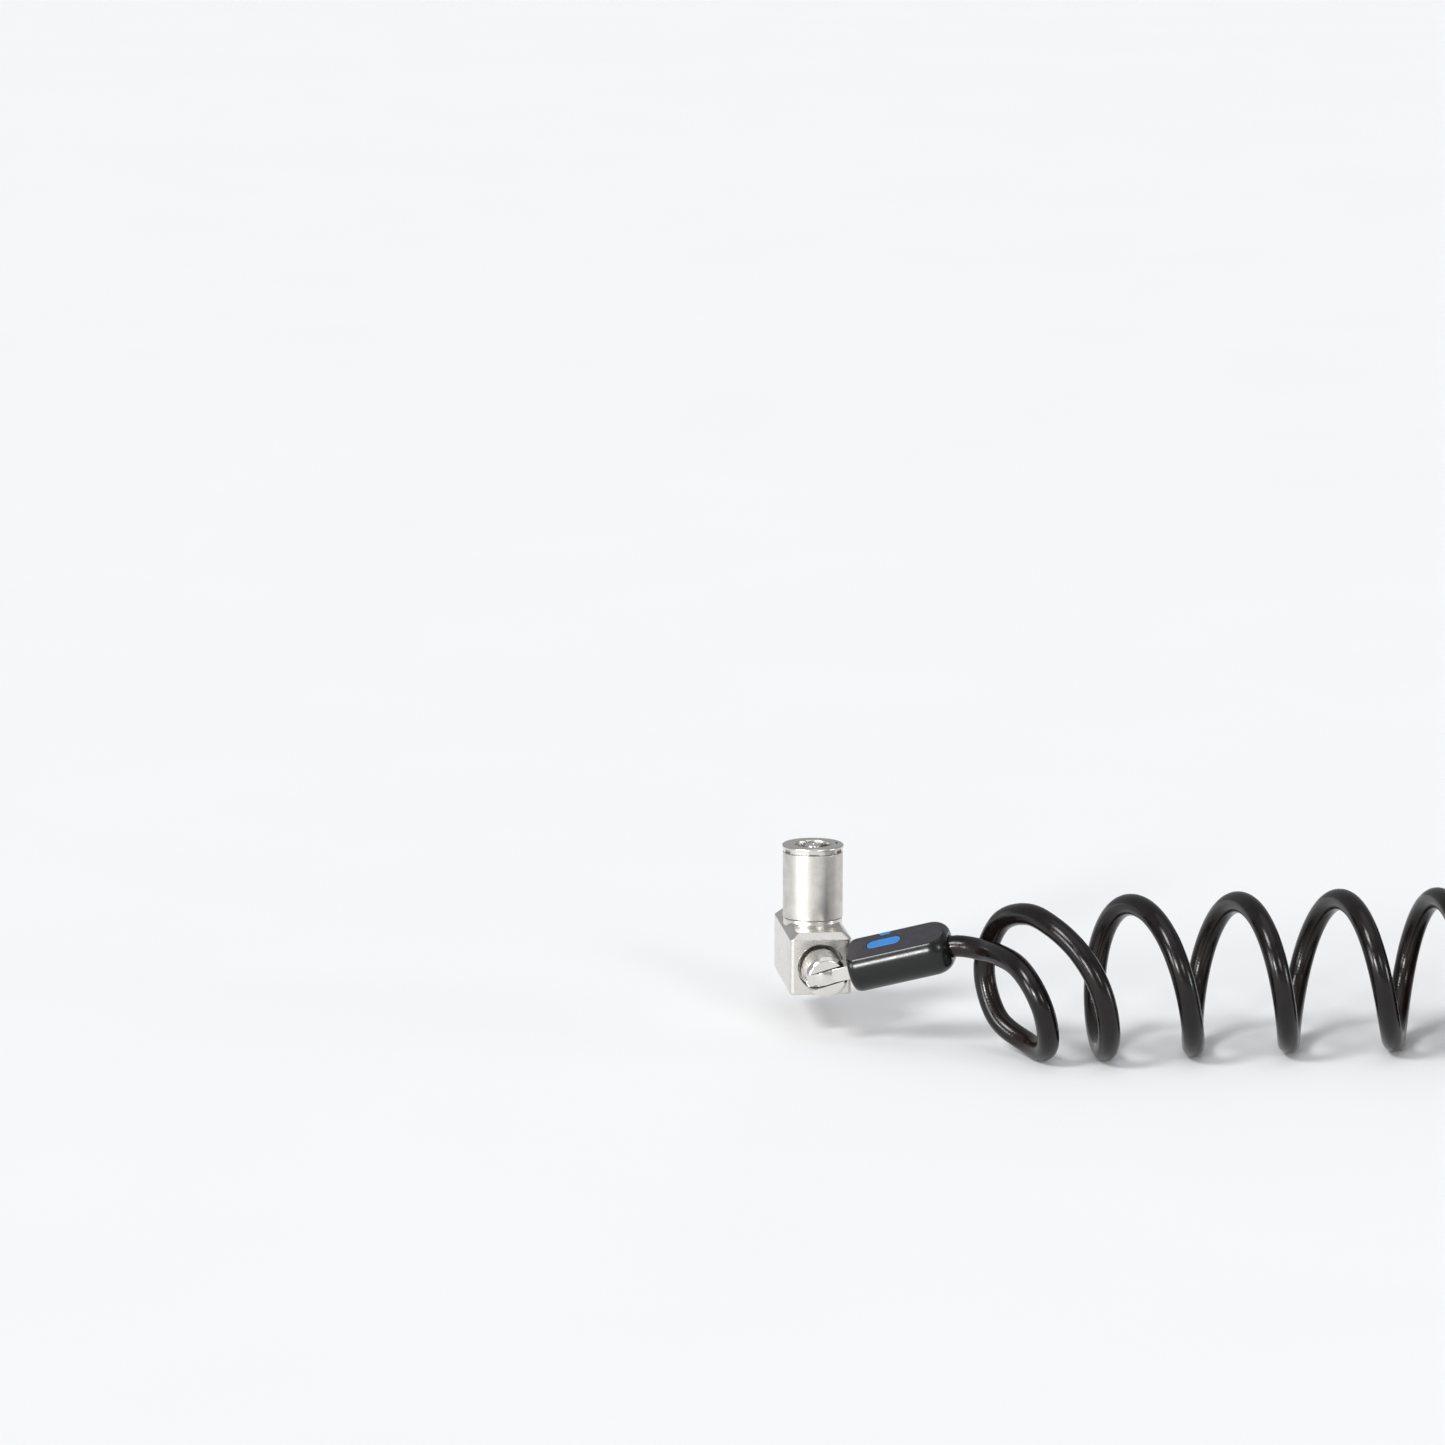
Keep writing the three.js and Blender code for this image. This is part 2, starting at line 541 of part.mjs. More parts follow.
// the moulding with its flat top, before it is bored
function sleeveBlank() {
  const section = roundedRect(SLEEVE_HEIGHT / 2 - SLEEVE_ROUND, SLEEVE_DEPTH / 2 - SLEEVE_ROUND, 1);
  const moulding = new THREE.ExtrudeGeometry(section, {
    depth: SLEEVE_END - SLEEVE_START - 2 * SLEEVE_ROUND,
    bevelThickness: SLEEVE_ROUND,
    bevelSize: SLEEVE_ROUND,
    bevelSegments: 3,
    curveSegments: 3,
  }).rotateY(Math.PI / 2).translate(SLEEVE_START + SLEEVE_ROUND, 0, 0);
  return cut(moulding, ontoFacet(box([0, 30], [-12, 0], [0, 6])));
}

function backInlay() {
  return meet(sleeveBlank(), dotPlug());
}

function cableSleeve() {
  return cut(
    sleeveBlank(),
    box([0, 6], [-TANG_HALF_WIDTH - 0.1, TANG_HALF_WIDTH + 0.1], [-TANG_THICKNESS / 2 - 0.1, TANG_THICKNESS / 2 + 0.1]),
    rodX(SOCKET_RADIUS + 0.1, 5.1, SOCKET_END + 0.2, 20),
    rodX(CABLE_RADIUS + 0.1, SOCKET_END, SLEEVE_END + 1, 16),
    topInlay(0.1),
    dotPlug(0.1),
  );
}

// ---------------------------------------------------------------- cable

function coilShape([x0, x1]) {
  const outer = COIL_RADIUS + CABLE_RADIUS;
  const inner = COIL_RADIUS - CABLE_RADIUS;
  return turnedRing([[inner, x0], [outer, x0], [outer, x1], [inner, x1]], 32)
    .rotateY(Math.PI / 2)
    .translate(0, COIL_Y, COIL_Z);
}

function tubeSteps(route) {
  const curve = new THREE.CatmullRomCurve3(route.map((p) => new THREE.Vector3(...p)));
  return Math.ceil(curve.getLength() / (5 * CABLE_RADIUS));
}

function cableTube(route) {
  return tubeAlong(route, CABLE_RADIUS, 8, tubeSteps(route) + route.length);
}

function loopRoute() {
  const out = LOOP_SIDE.map(([x, half, z]) => [FERRULE_X[1] + x, FERRULE_Y + half, z]);
  const back = LOOP_SIDE.slice(0, -1).reverse().map(([x, half, z]) => [FERRULE_X[1] + x, FERRULE_Y - half, z]);
  return [...out, ...back];
}

// an oval bush along X round the loop's two strands
function ovalBush([x0, x1], halfWidth, halfHeight) {
  return new THREE.ExtrudeGeometry(roundedRect(halfHeight, halfWidth, halfHeight * 0.95), {
    depth: x1 - x0,
    bevelEnabled: false,
    curveSegments: 5,
  }).rotateY(Math.PI / 2).translate(x0, FERRULE_Y, FERRULE_Z);
}

function loopFerrule() {
  const [x0, x1] = FERRULE_X;
  return ovalBush([x0 + 1, x1 - 1], 3.9, 2.2);
}

function ferruleCover() {
  const [x0, x1] = FERRULE_X;
  return cut(ovalBush([x0, x1], 4.6, 2.9), ovalBush([x0 + 0.7, x1 + 1], 4, 2.3));
}

// ---------------------------------------------------------------- assembly

const lock = new THREE.Group();

lock.add(
  piece('lock_body', lockBody(), NICKEL),
  piece('base_plate', basePlate(), NICKEL),
  piece('nose_plate', nosePlate(), STEEL),
  piece('jaw_right', jaw(1), STEEL),
  piece('jaw_left', jaw(-1), STEEL),
  piece('lock_slide', lockSlide(), STEEL),
  piece('barrel_shell', barrelShell(), NICKEL),
  piece('cap_ring', capRing(), NICKEL),
  piece('barrel_pin', rodY(0.6, BARREL_Y + 3.05, BARREL_Y + BARREL_RADIUS - 0.1, 10, 0, BARREL_PIN_Z), STEEL),
  piece('tumbler_housing', tumblerHousing(), BRASS),
  piece('key_plug', keyPlug(), BRASS),
  piece('key_spindle', keySpindle(), STEEL),
  piece('cam', cam(), STEEL),
);
BASE_RIVETS.forEach(([x, y], i) => {
  lock.add(piece(`base_rivet_${i + 1}`, rod(0.5, BLOCK_LOW + 0.02, -2.5, 10, x, y), STEEL));
});
NOSE_RIVETS.forEach((z, i) => {
  lock.add(piece(`nose_rivet_${i + 1}`, rodY(0.6, -NOSE_THICKNESS - 1.4, -0.02, 10, 0, z), STEEL));
});
pinPlaces().forEach(([x, y], i) => {
  const driver = rod(PIN_RADIUS, DRIVER_LOW, SHEAR_LINE - 0.05, 8, x, y).translate(0, BARREL_Y, 0);
  const keyPin = rod(PIN_RADIUS, SHEAR_LINE + 0.05, PLUG_TOP - 0.6, 8, x, y).translate(0, BARREL_Y, 0);
  lock.add(
    piece(`driver_pin_${i + 1}`, driver, STEEL),
    piece(`key_pin_${i + 1}`, keyPin, BRASS),
    piece(`driver_spring_${i + 1}`, tumblerSpring(x, y), STEEL),
  );
});

const stud = new THREE.Group();
stud.position.set(0, 0, STUD_Z);
stud.rotation.y = -SPIN;
stud.add(
  piece('swivel_stud', swivelStud(), NICKEL),
  piece('stud_washer', studWasher(), STEEL),
  piece('stud_clip', studClip(), STEEL),
);
lock.add(stud);

const pivot = new THREE.Group();
pivot.position.set(0, FRONT - STUD_LENGTH + PIVOT_BACK, 0);
pivot.rotation.z = -SWING;
pivot.add(
  piece('pivot_pin', pivotPin(), STEEL),
  piece('cable_tang', cableTang(), NICKEL),
  piece('cable_end', cableEnd(), CABLE),
  piece('cable_sleeve', cableSleeve(), MOULDING),
  piece('sleeve_inlay_top', topInlay(), BLUE),
  piece('sleeve_inlay_back', backInlay(), BLUE),
);
stud.add(pivot);

lock.add(
  piece('cable_lead', cableTube(LEAD_ROUTE), CABLE),
  piece('cable_coil_open', coilShape(COIL_OPEN), CABLE),
  piece('cable_coil_closed', coilShape(COIL_CLOSED), CABLE),
  piece('cable_tail', cableTube(TAIL_ROUTE), CABLE),
  piece('loop_ferrule', loopFerrule(), STEEL),
  piece('loop_ferrule_cover', ferruleCover(), MOULDING),
  piece('cable_loop', cableTube(loopRoute()), CABLE),
);

export default lock;
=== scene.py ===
"""The looks of a laptop cable lock: a die-cast lock head with a round-key barrel, a slotted swivel stud, a
moulded cable sleeve and a self-coiling steel cable with a crimped end loop.

Lengths are in millimetres in the classes below and in metres in Blender. The frame's origin is the middle of
the two hooks on the face of the laptop, +Y points into the laptop and the barrel stands along +Z.
"""
import logging
import math
from collections.abc import Callable, Iterable, Sequence
from dataclasses import dataclass, field
from enum import Enum

import bpy
from mathutils import Matrix, Vector


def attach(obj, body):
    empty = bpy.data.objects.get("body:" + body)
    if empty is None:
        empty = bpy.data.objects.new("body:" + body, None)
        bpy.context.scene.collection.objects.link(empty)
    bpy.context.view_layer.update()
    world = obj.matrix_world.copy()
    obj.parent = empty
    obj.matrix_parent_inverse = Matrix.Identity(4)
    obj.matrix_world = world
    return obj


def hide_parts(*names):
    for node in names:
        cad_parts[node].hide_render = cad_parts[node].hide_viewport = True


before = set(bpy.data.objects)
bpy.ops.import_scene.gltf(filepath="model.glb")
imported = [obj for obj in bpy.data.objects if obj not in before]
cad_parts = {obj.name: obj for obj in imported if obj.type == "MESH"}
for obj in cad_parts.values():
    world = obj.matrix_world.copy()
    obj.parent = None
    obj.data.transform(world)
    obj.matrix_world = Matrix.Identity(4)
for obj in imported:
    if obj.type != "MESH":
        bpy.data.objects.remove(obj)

LOG = logging.getLogger("cable_lock")
MM = 0.001
Span = tuple[float, float]
Point = Sequence[float]
Object = bpy.types.Object
Socket = bpy.types.NodeSocket


class Axis(Enum):
    """The axis that a turned piece or a rod is made about."""

    X = (0.0, math.pi / 2, 0.0)
    Y = (-math.pi / 2, 0.0, 0.0)
    Z = (0.0, 0.0, 0.0)


class Join(Enum):
    """What is done with the tool of a boolean."""

    AWAY = "DIFFERENCE"
    ADDED = "UNION"
    SHARED = "INTERSECT"


# ---------------------------------------------------------------- modelling by hand


def metres(values: Iterable[float]) -> Vector:
    """Millimetres to a vector in metres."""
    return Vector([value * MM for value in values])


def select_only(obj: Object) -> None:
    """Deselect everything, then select one object and make it active."""
    bpy.ops.object.select_all(action="DESELECT")
    obj.select_set(True)
    bpy.context.view_layer.objects.active = obj


def settled(name: str) -> Object:
    """Name the new primitive and move its place into its mesh.

    Args:
        name: The name of the object and of its mesh.

    Returns:
        The object, at the origin.
    """
    obj = bpy.context.object
    obj.name = obj.data.name = name
    select_only(obj)
    bpy.ops.object.transform_apply(location=True, rotation=True, scale=True)
    return obj


def box(name: str, x: Span, y: Span, z: Span) -> Object:
    """A box primitive.

    Args:
        name: The object's name.
        x: Its lowest and highest X in millimetres.
        y: The same along Y.
        z: The same along Z.

    Returns:
        The box.
    """
    bpy.ops.object.select_all(action="DESELECT")
    middle = [(low + high) / 2 for low, high in (x, y, z)]
    size = [high - low for low, high in (x, y, z)]
    bpy.ops.mesh.primitive_cube_add(size=1, location=metres(middle), scale=metres(size))
    return settled(name)


def rod(name: str, radius: float, span: Span, axis: Axis = Axis.Z, at: Span = (0, 0), sides: int = 64) -> Object:
    """A round rod primitive.

    Args:
        name: The object's name.
        radius: Its radius in millimetres.
        span: Its lowest and highest place along its axis.
        axis: The axis that it lies along.
        at: Its place on the other two axes, in their order.
        sides: The number of sides.

    Returns:
        The rod.
    """
    middle = (span[0] + span[1]) / 2
    place = {Axis.X: (middle, *at), Axis.Y: (at[0], middle, at[1]), Axis.Z: (*at, middle)}[axis]
    bpy.ops.object.select_all(action="DESELECT")
    bpy.ops.mesh.primitive_cylinder_add(
        vertices=sides, radius=radius * MM, depth=(span[1] - span[0]) * MM, location=metres(place), rotation=axis.value
    )
    return settled(name)


def turned(name: str, profile: Sequence[Span], axis: Axis = Axis.Z, hollow: bool = False, sides: int = 96) -> Object:
    """A piece turned on a lathe: a circle is extruded and scaled along the profile.

    Args:
        name: The object's name.
        profile: Radius and height of each corner, from one end to the other. A hollow one closes on itself.
        axis: The axis that it turns about.
        hollow: Whether the profile goes round a bore.
        sides: The number of sides.

    Returns:
        The closed piece, about the axis through the origin.
    """
    (radius, height), rest = profile[0], list(profile[1:])
    bpy.ops.object.select_all(action="DESELECT")
    bpy.ops.mesh.primitive_circle_add(
        vertices=sides, radius=radius * MM, fill_type="NOTHING" if hollow else "NGON", location=metres((0, 0, height))
    )
    obj = settled(name)
    bpy.ops.object.mode_set(mode="EDIT")
    bpy.ops.mesh.select_all(action="SELECT")
    for next_radius, next_height in rest + ([profile[0]] if hollow else []):
        bpy.ops.mesh.extrude_region_move(TRANSFORM_OT_translate={"value": (0, 0, (next_height - height) * MM)})
        grow = next_radius / radius
        bpy.ops.transform.resize(value=(grow, grow, 1), center_override=(0, 0, next_height * MM))
        radius, height = next_radius, next_height
    bpy.ops.mesh.select_all(action="SELECT")
    bpy.ops.mesh.remove_doubles(threshold=0.002 * MM)
    bpy.ops.mesh.normals_make_consistent(inside=False)
    bpy.ops.object.mode_set(mode="OBJECT")
    obj.rotation_euler = axis.value
    return moved(obj, Matrix.Identity(4))


def arc(centre: Span, radius: float, start: float, end: float, steps: int = 5) -> list[Span]:
    """Points of a round corner.

    Args:
        centre: Its centre.
        radius: Its radius.
        start: The angle of its first point in degrees.
        end: The angle of its last point.
        steps: The number of stretches.

    Returns:
        The points, first and last included.
    """
    angles = [math.radians(start + (end - start) * i / steps) for i in range(steps + 1)]
    return [(centre[0] + radius * math.cos(a), centre[1] + radius * math.sin(a)) for a in angles]


def moved(obj: Object, place: Matrix) -> Object:
    """Apply a placement, and the object's own, to its mesh."""
    select_only(obj)
    obj.matrix_world = place @ obj.matrix_basis
    bpy.ops.object.transform_apply(location=True, rotation=True, scale=True)
    return obj


def bevel_where(obj: Object, chosen: Callable[[Vector, Vector], bool], width: float, segments: int = 4) -> None:
    """Bevel some edges in edit mode.

    Args:
        obj: The piece.
        chosen: Says of an edge's two ends, in millimetres, whether it is bevelled.
        width: The width of the bevel in millimetres.
        segments: The number of segments.
    """
    select_only(obj)
    mesh = obj.data
    for part in (*mesh.polygons, *mesh.edges, *mesh.vertices):
        part.select = False
    for edge in mesh.edges:
        start, end = (mesh.vertices[i].co / MM for i in edge.vertices)
        edge.select = chosen(start, end)
    bpy.context.tool_settings.mesh_select_mode = (False, True, False)
    bpy.ops.object.mode_set(mode="EDIT")
    bpy.ops.mesh.bevel(offset=width * MM, offset_type="OFFSET", segments=segments, affect="EDGES")
    bpy.ops.object.mode_set(mode="OBJECT")


def round_end(obj: Object, at: float, reach: float, shrink: float, steps: int) -> None:
    """Round the end of a bar that lies along X: its end face is extruded and scaled down in steps.

    Args:
        obj: The bar, centred on the X axis.
        at: Where its end face is.
        reach: How far the rounding reaches past it, negative towards -X.
        shrink: The size of the last face against the first.
        steps: The number of steps.
    """
    select_only(obj)
    for part in (*obj.data.polygons, *obj.data.edges, *obj.data.vertices):
        part.select = False
    for face in obj.data.polygons:
        face.select = abs(face.center.x / MM - at) < 0.01 and abs(face.normal.x) > 0.99
    bpy.context.tool_settings.mesh_select_mode = (False, False, True)
    bpy.ops.object.mode_set(mode="EDIT")
    size, place = 1.0, 0.0
    for index in range(1, steps + 1):
        angle = math.pi / 2 * index / steps
        next_size, next_place = 1 - (1 - shrink) * (1 - math.cos(angle)), reach * math.sin(angle)
        step = {"value": ((next_place - place) * MM, 0, 0)}
        bpy.ops.mesh.extrude_region_move(TRANSFORM_OT_translate=step)
        grow = next_size / size
        bpy.ops.transform.resize(value=(1, grow, grow), center_override=((at + next_place) * MM, 0, 0))
        size, place = next_size, next_place
    bpy.ops.object.mode_set(mode="OBJECT")


def combine(obj: Object, tool: Object, how: Join = Join.AWAY) -> Object:
    """Cut a tool out of a piece, add it or keep what both fill, and remove the tool."""
    select_only(obj)
    change = obj.modifiers.new("cut", "BOOLEAN")
    change.operation = how.value
    change.solver = "EXACT"
    change.object = tool
    bpy.ops.object.modifier_apply(modifier=change.name)
    bpy.data.objects.remove(tool, do_unlink=True)
    return obj


def soften(obj: Object, width: float = 0.12, segments: int = 2, angle: float = 32) -> Object:
    """Round every sharp edge a little and shade the piece smooth.

    Args:
        obj: The piece.
        width: The width of the rounding in millimetres; none where it is 0.
        segments: Its number of segments.
        angle: Edges that bend more than this, in degrees, are rounded.

    Returns:
        The same piece.
    """
    select_only(obj)
    if width:
        edges = obj.modifiers.new("edges", "BEVEL")
        edges.limit_method = "ANGLE"
        edges.angle_limit = math.radians(angle)
        edges.width = width * MM
        edges.segments = segments
        edges.use_clamp_overlap = False
        edges.miter_outer = "MITER_ARC"
        bpy.ops.object.modifier_apply(modifier=edges.name)
    bpy.ops.object.shade_smooth_by_angle(angle=math.radians(angle + 20))
    weights = obj.modifiers.new("weights", "WEIGHTED_NORMAL")
    weights.keep_sharp = True
    bpy.ops.object.modifier_apply(modifier=weights.name)
    return obj


# ---------------------------------------------------------------- materials


def linear(code: str) -> tuple[float, float, float, float]:
    """Turn an sRGB hex colour into linear RGBA."""
    shares = [int(code[i : i + 2], 16) / 255 for i in (1, 3, 5)]
    return (*[s / 12.92 if s <= 0.04045 else ((s + 0.055) / 1.055) ** 2.4 for s in shares], 1.0)


def per_mm(size: float) -> float:
    """The scale of a texture on metres that gives features of a size in millimetres."""
    return 1 / (size * MM)


def add_node(tree: bpy.types.NodeTree, kind: str, inputs: dict | None = None, **settings: object) -> bpy.types.Node:
    """Add a node to a tree.

    Args:
        tree: The material's node tree.
        kind: The node's type.
        inputs: For each input socket, by name or number, a value or the output that it is linked to.
        settings: The node's properties.

    Returns:
        The node.
    """
    made = tree.nodes.new(kind)
    for key, value in settings.items():
        setattr(made, key, value)
    for key, value in (inputs or {}).items():
        if isinstance(value, Socket):
            tree.links.new(value, made.inputs[key])
        else:
            made.inputs[key].default_value = value
    return made


@dataclass
class Recipe:
    """A material in the making: its tree, its coordinates in metres and its shader."""

    name: str
    material: bpy.types.Material = field(init=False)

    def __post_init__(self) -> None:
        """Make the empty material with its shader."""
        self.material = bpy.data.materials.new(self.name)
        self.material.use_nodes = True
        self.tree = self.material.node_tree
        self.shader = self.tree.nodes["Principled BSDF"]
        self.place = add_node(self.tree, "ShaderNodeTexCoord").outputs["Object"]

    def noise(
        self, size: float, detail: float = 2.0, stretch: Point = (1, 1, 1), where: Socket | None = None
    ) -> Socket:
        """Noise with features of a size in millimetres, stretched along the axes."""
        scaled = add_node(
            self.tree, "ShaderNodeMapping", {"Vector": where or self.place, "Scale": [1 / s for s in stretch]}
        )
        cloud = add_node(
            self.tree, "ShaderNodeTexNoise",
            {"Vector": scaled.outputs[0], "Scale": per_mm(size), "Detail": detail, "Roughness": 0.55},
        )
        return cloud.outputs["Fac"]

    def spread(self, value: Socket, low: float, high: float, start: float = 0.3, end: float = 0.7) -> Socket:
        """Map the part of a pattern between start and end onto low to high."""
        limits = {"Value": value, "From Min": start, "From Max": end, "To Min": low, "To Max": high}
        return add_node(self.tree, "ShaderNodeMapRange", limits).outputs["Result"]

    def blend(self, share: Socket, first: str | Socket, second: str | Socket) -> Socket:
        """Mix two colours, given as hex codes or as outputs."""
        mix = add_node(self.tree, "ShaderNodeMix", {"Factor": share}, data_type="RGBA")
        for key, colour in ((6, first), (7, second)):
            if isinstance(colour, Socket):
                self.tree.links.new(colour, mix.inputs[key])
            else:
                mix.inputs[key].default_value = linear(colour)
        return mix.outputs[2]

    def maths(self, operation: str, first: Socket | float, second: Socket | float = 0.0) -> Socket:
        """One step of arithmetic."""
        return add_node(self.tree, "ShaderNodeMath", {0: first, 1: second}, operation=operation).outputs[0]

    def relief(self, height: Socket, depth: float, under: Socket | None = None) -> Socket:
        """A bump of a depth in millimetres, on top of another one if that is given."""
        inputs = {"Height": height, "Distance": depth * MM, "Strength": 1.0}
        if under is not None:
            inputs["Normal"] = under
        return add_node(self.tree, "ShaderNodeBump", inputs).outputs["Normal"]

    def dress(self, colour: Socket, roughness: Socket, normal: Socket, **constants: float) -> bpy.types.Material:
        """Link the surface to the shader and set what is the same all over it."""
        for key, value in (("Base Color", colour), ("Roughness", roughness), ("Normal", normal)):
            self.tree.links.new(value, self.shader.inputs[key])
        for key, value in constants.items():
            self.shader.inputs[key.replace("_", " ")].default_value = value
        return self.material


@dataclass(frozen=True)
class PlatedMetal:
    """Nickel-plated or bare metal with a fine grain, faint clouds in its tone and small rubbing marks."""

    name: str
    light: str
    dark: str
    roughness: float
    grain: float = 0.16
    grain_depth: float = 0.0016
    spread: float = 0.05
    rub: Point = (1, 1, 1)
    rub_depth: float = 0.0006

    def make(self) -> bpy.types.Material:
        """Grain breaks the highlight up into sparkles, clouds keep it from being even."""
        recipe = Recipe(self.name)
        grain = recipe.noise(self.grain, 3)
        cloud = recipe.noise(2.4, 3)
        rub = recipe.noise(0.12, 2, self.rub)
        tone = recipe.maths("MULTIPLY_ADD", grain, 0.35)
        tone.node.inputs[2].default_value = 0.0
        tone = recipe.maths("ADD", tone, recipe.maths("MULTIPLY", cloud, 0.65))
        colour = recipe.blend(recipe.spread(tone, 0, 1, 0.3, 0.7), self.dark, self.light)
        rough = recipe.spread(tone, self.roughness + self.spread, self.roughness - self.spread)
        normal = recipe.relief(rub, self.rub_depth, recipe.relief(grain, self.grain_depth))
        return recipe.dress(colour, rough, normal, Metallic=1.0)


@dataclass(frozen=True)
class Plastic:
    """Moulded plastic: a faint waviness from the mould, fine texture and dusty variation in its gloss."""

    name: str
    light: str
    dark: str
    roughness: float
    texture: float = 0.25
    texture_depth: float = 0.0004
    spread: float = 0.04
    index: float = 1.46

    def make(self) -> bpy.types.Material:
        """The texture blurs the highlight, the waviness bends it a little."""
        recipe = Recipe(self.name)
        texture = recipe.noise(self.texture, 3)
        wave = recipe.noise(3.5, 1)
        colour = recipe.blend(recipe.spread(recipe.noise(1.3, 4), 0, 1), self.dark, self.light)
        rough = recipe.spread(recipe.noise(0.8, 4), self.roughness - self.spread, self.roughness + self.spread)
        normal = recipe.relief(wave, 0.008, recipe.relief(texture, self.texture_depth))
        return recipe.dress(colour, rough, normal, IOR=self.index)


@dataclass(frozen=True)
class CableJacket:
    """Black vinyl extruded over a twisted steel strand, whose lay shows through on the inside of a bend."""

    name: str = "extruded_black_vinyl"
    lay: float = 0.62
    strands: int = 6

    def make(self) -> bpy.types.Material:
        """Ridges from the lay, long drawn streaks in the gloss and a faint brown cast."""
        recipe = Recipe(self.name)
        tree = recipe.tree
        along = add_node(tree, "ShaderNodeUVMap", uv_map="along_cable").outputs["UV"]
        parts = add_node(tree, "ShaderNodeSeparateXYZ", {"Vector": along})
        bend = add_node(tree, "ShaderNodeAttribute", attribute_name="inside_bend").outputs["Fac"]
        turns = recipe.maths("MULTIPLY", parts.outputs["X"], 2 * math.pi * per_mm(self.lay))
        around = recipe.maths("MULTIPLY", parts.outputs["Y"], 2 * math.pi * self.strands)
        ridge = recipe.maths("SINE", recipe.maths("ADD", turns, around))
        showing = recipe.spread(bend, 0.08, 1.0, 0.15, 0.85)
        patchy = recipe.maths("MULTIPLY", showing, recipe.spread(recipe.noise(3.0, 2), 0.2, 1.0))
        ridges = recipe.maths("MULTIPLY", ridge, patchy)
        streaks = recipe.noise(1.1, 3)
        colour = recipe.blend(recipe.spread(recipe.noise(2.2, 4), 0, 1), "#070505", "#120d0b")
        colour = recipe.blend(recipe.spread(bend, 0.0, 0.75, 0.3, 1.0), colour, "#1b1411")
        rough = recipe.spread(streaks, 0.15, 0.28)
        normal = recipe.relief(ridges, 0.004, recipe.relief(recipe.noise(2.6, 2), 0.018))
        return recipe.dress(colour, rough, normal, IOR=1.4)


class Finish(Enum):
    """Every finish on the lock, by what it is and how it was made."""

    # zinc die casting, tumbled and satin nickel-plated: soft even sheen, faint clouds
    CAST_NICKEL = PlatedMetal("satin_nickel_on_zinc_casting", "#e2dfda", "#d2cfca", 0.27, 0.16, 0.0012, 0.03)
    # the same plating over a blasted tube: coarser sparkle, soft vertical bands
    BLASTED_NICKEL = PlatedMetal("blasted_satin_nickel_tube", "#dedbd5", "#bdbab4", 0.36, 0.2, 0.009, 0.05)
    # bright nickel on turned brass or steel: sharp reflections
    BRIGHT_NICKEL = PlatedMetal("bright_nickel_turned", "#e4e1dc", "#d6d3ce", 0.16, 0.3, 0.0006, 0.03)
    # hardened steel, ground flat: long fine lines along the stroke
    GROUND_STEEL = PlatedMetal("ground_hardened_steel", "#a2a2a3", "#7d7d7f", 0.3, 0.2, 0.001, 0.05, (1, 12, 1), 0.002)
    # free-cutting brass from the lathe
    TURNED_BRASS = PlatedMetal("turned_brass", "#b8954f", "#8d6d35", 0.28, 0.15, 0.001, 0.05, (8, 8, 1), 0.002)
    # spring wire with a thin oil film
    SPRING_STEEL = PlatedMetal("drawn_spring_steel", "#8f9092", "#6c6d70", 0.25, 0.1, 0.0008)
    # pressed aluminium bush, dull, with marks of the press
    PRESSED_ALUMINIUM = PlatedMetal("pressed_aluminium", "#b4b5b6", "#8f9091", 0.38, 0.4, 0.004, 0.06)
    # galvanised wire rope, hidden inside the sleeve
    GALVANISED_STRAND = PlatedMetal("galvanised_strand", "#8e9091", "#606263", 0.42, 0.3, 0.01, 0.08, (1, 1, 6), 0.01)
    # ABS from a polished mould: deep gloss with long soft highlights
    GLOSS_ABS = Plastic("gloss_black_abs", "#101111", "#0a0b0b", 0.22, 0.5, 0.0003, 0.03, 1.45)
    # ABS from a spark-eroded mould face: really matt, but its lighter dark grey is partly painted reflection of the
    # bright surroundings
    MATT_ABS_WITH_PAINTED_REFLECTION = Plastic("spark_textured_abs_painted_reflection", "#353338", "#2b292e", 0.48, 0.16, 0.006, 0.05)
    # blue ABS inlay, satin
    BLUE_ABS = Plastic("satin_blue_abs", "#2f7abd", "#2a70b0", 0.42, 0.2, 0.001, 0.05)
    # black enamel wiped into the engraved index mark
    ENAMEL = Plastic("wiped_black_enamel", "#17171a", "#0b0b0d", 0.4, 0.2, 0.001, 0.05)
    VINYL = CableJacket()

    def material(self) -> bpy.types.Material:
        """The finish's one material, made the first time that it is asked for."""
        return bpy.data.materials.get(self.value.name) or self.value.make()


def dress(obj: Object, finish: Finish) -> None:
    """Give a piece or a CAD node a finish all over."""
    if not obj.material_slots:
        obj.data.materials.append(finish.material())
    for place in obj.material_slots:
        place.material = finish.material()


def hand_over(piece: Object, body: str, node: str, finish: Finish) -> Object:
    """Let a finished piece stand for a CAD node.

    Args:
        piece: The piece.
        body: The CAD body that it moves with.
        node: The CAD node that it replaces.
        finish: Its finish.

    Returns:
        The same piece.
    """
    dress(piece, finish)
    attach(piece, body)
    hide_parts(node)
    LOG.info("%s stands for %s with %d faces", piece.name, node, len(piece.data.polygons))
    return piece


# ---------------------------------------------------------------- lock head


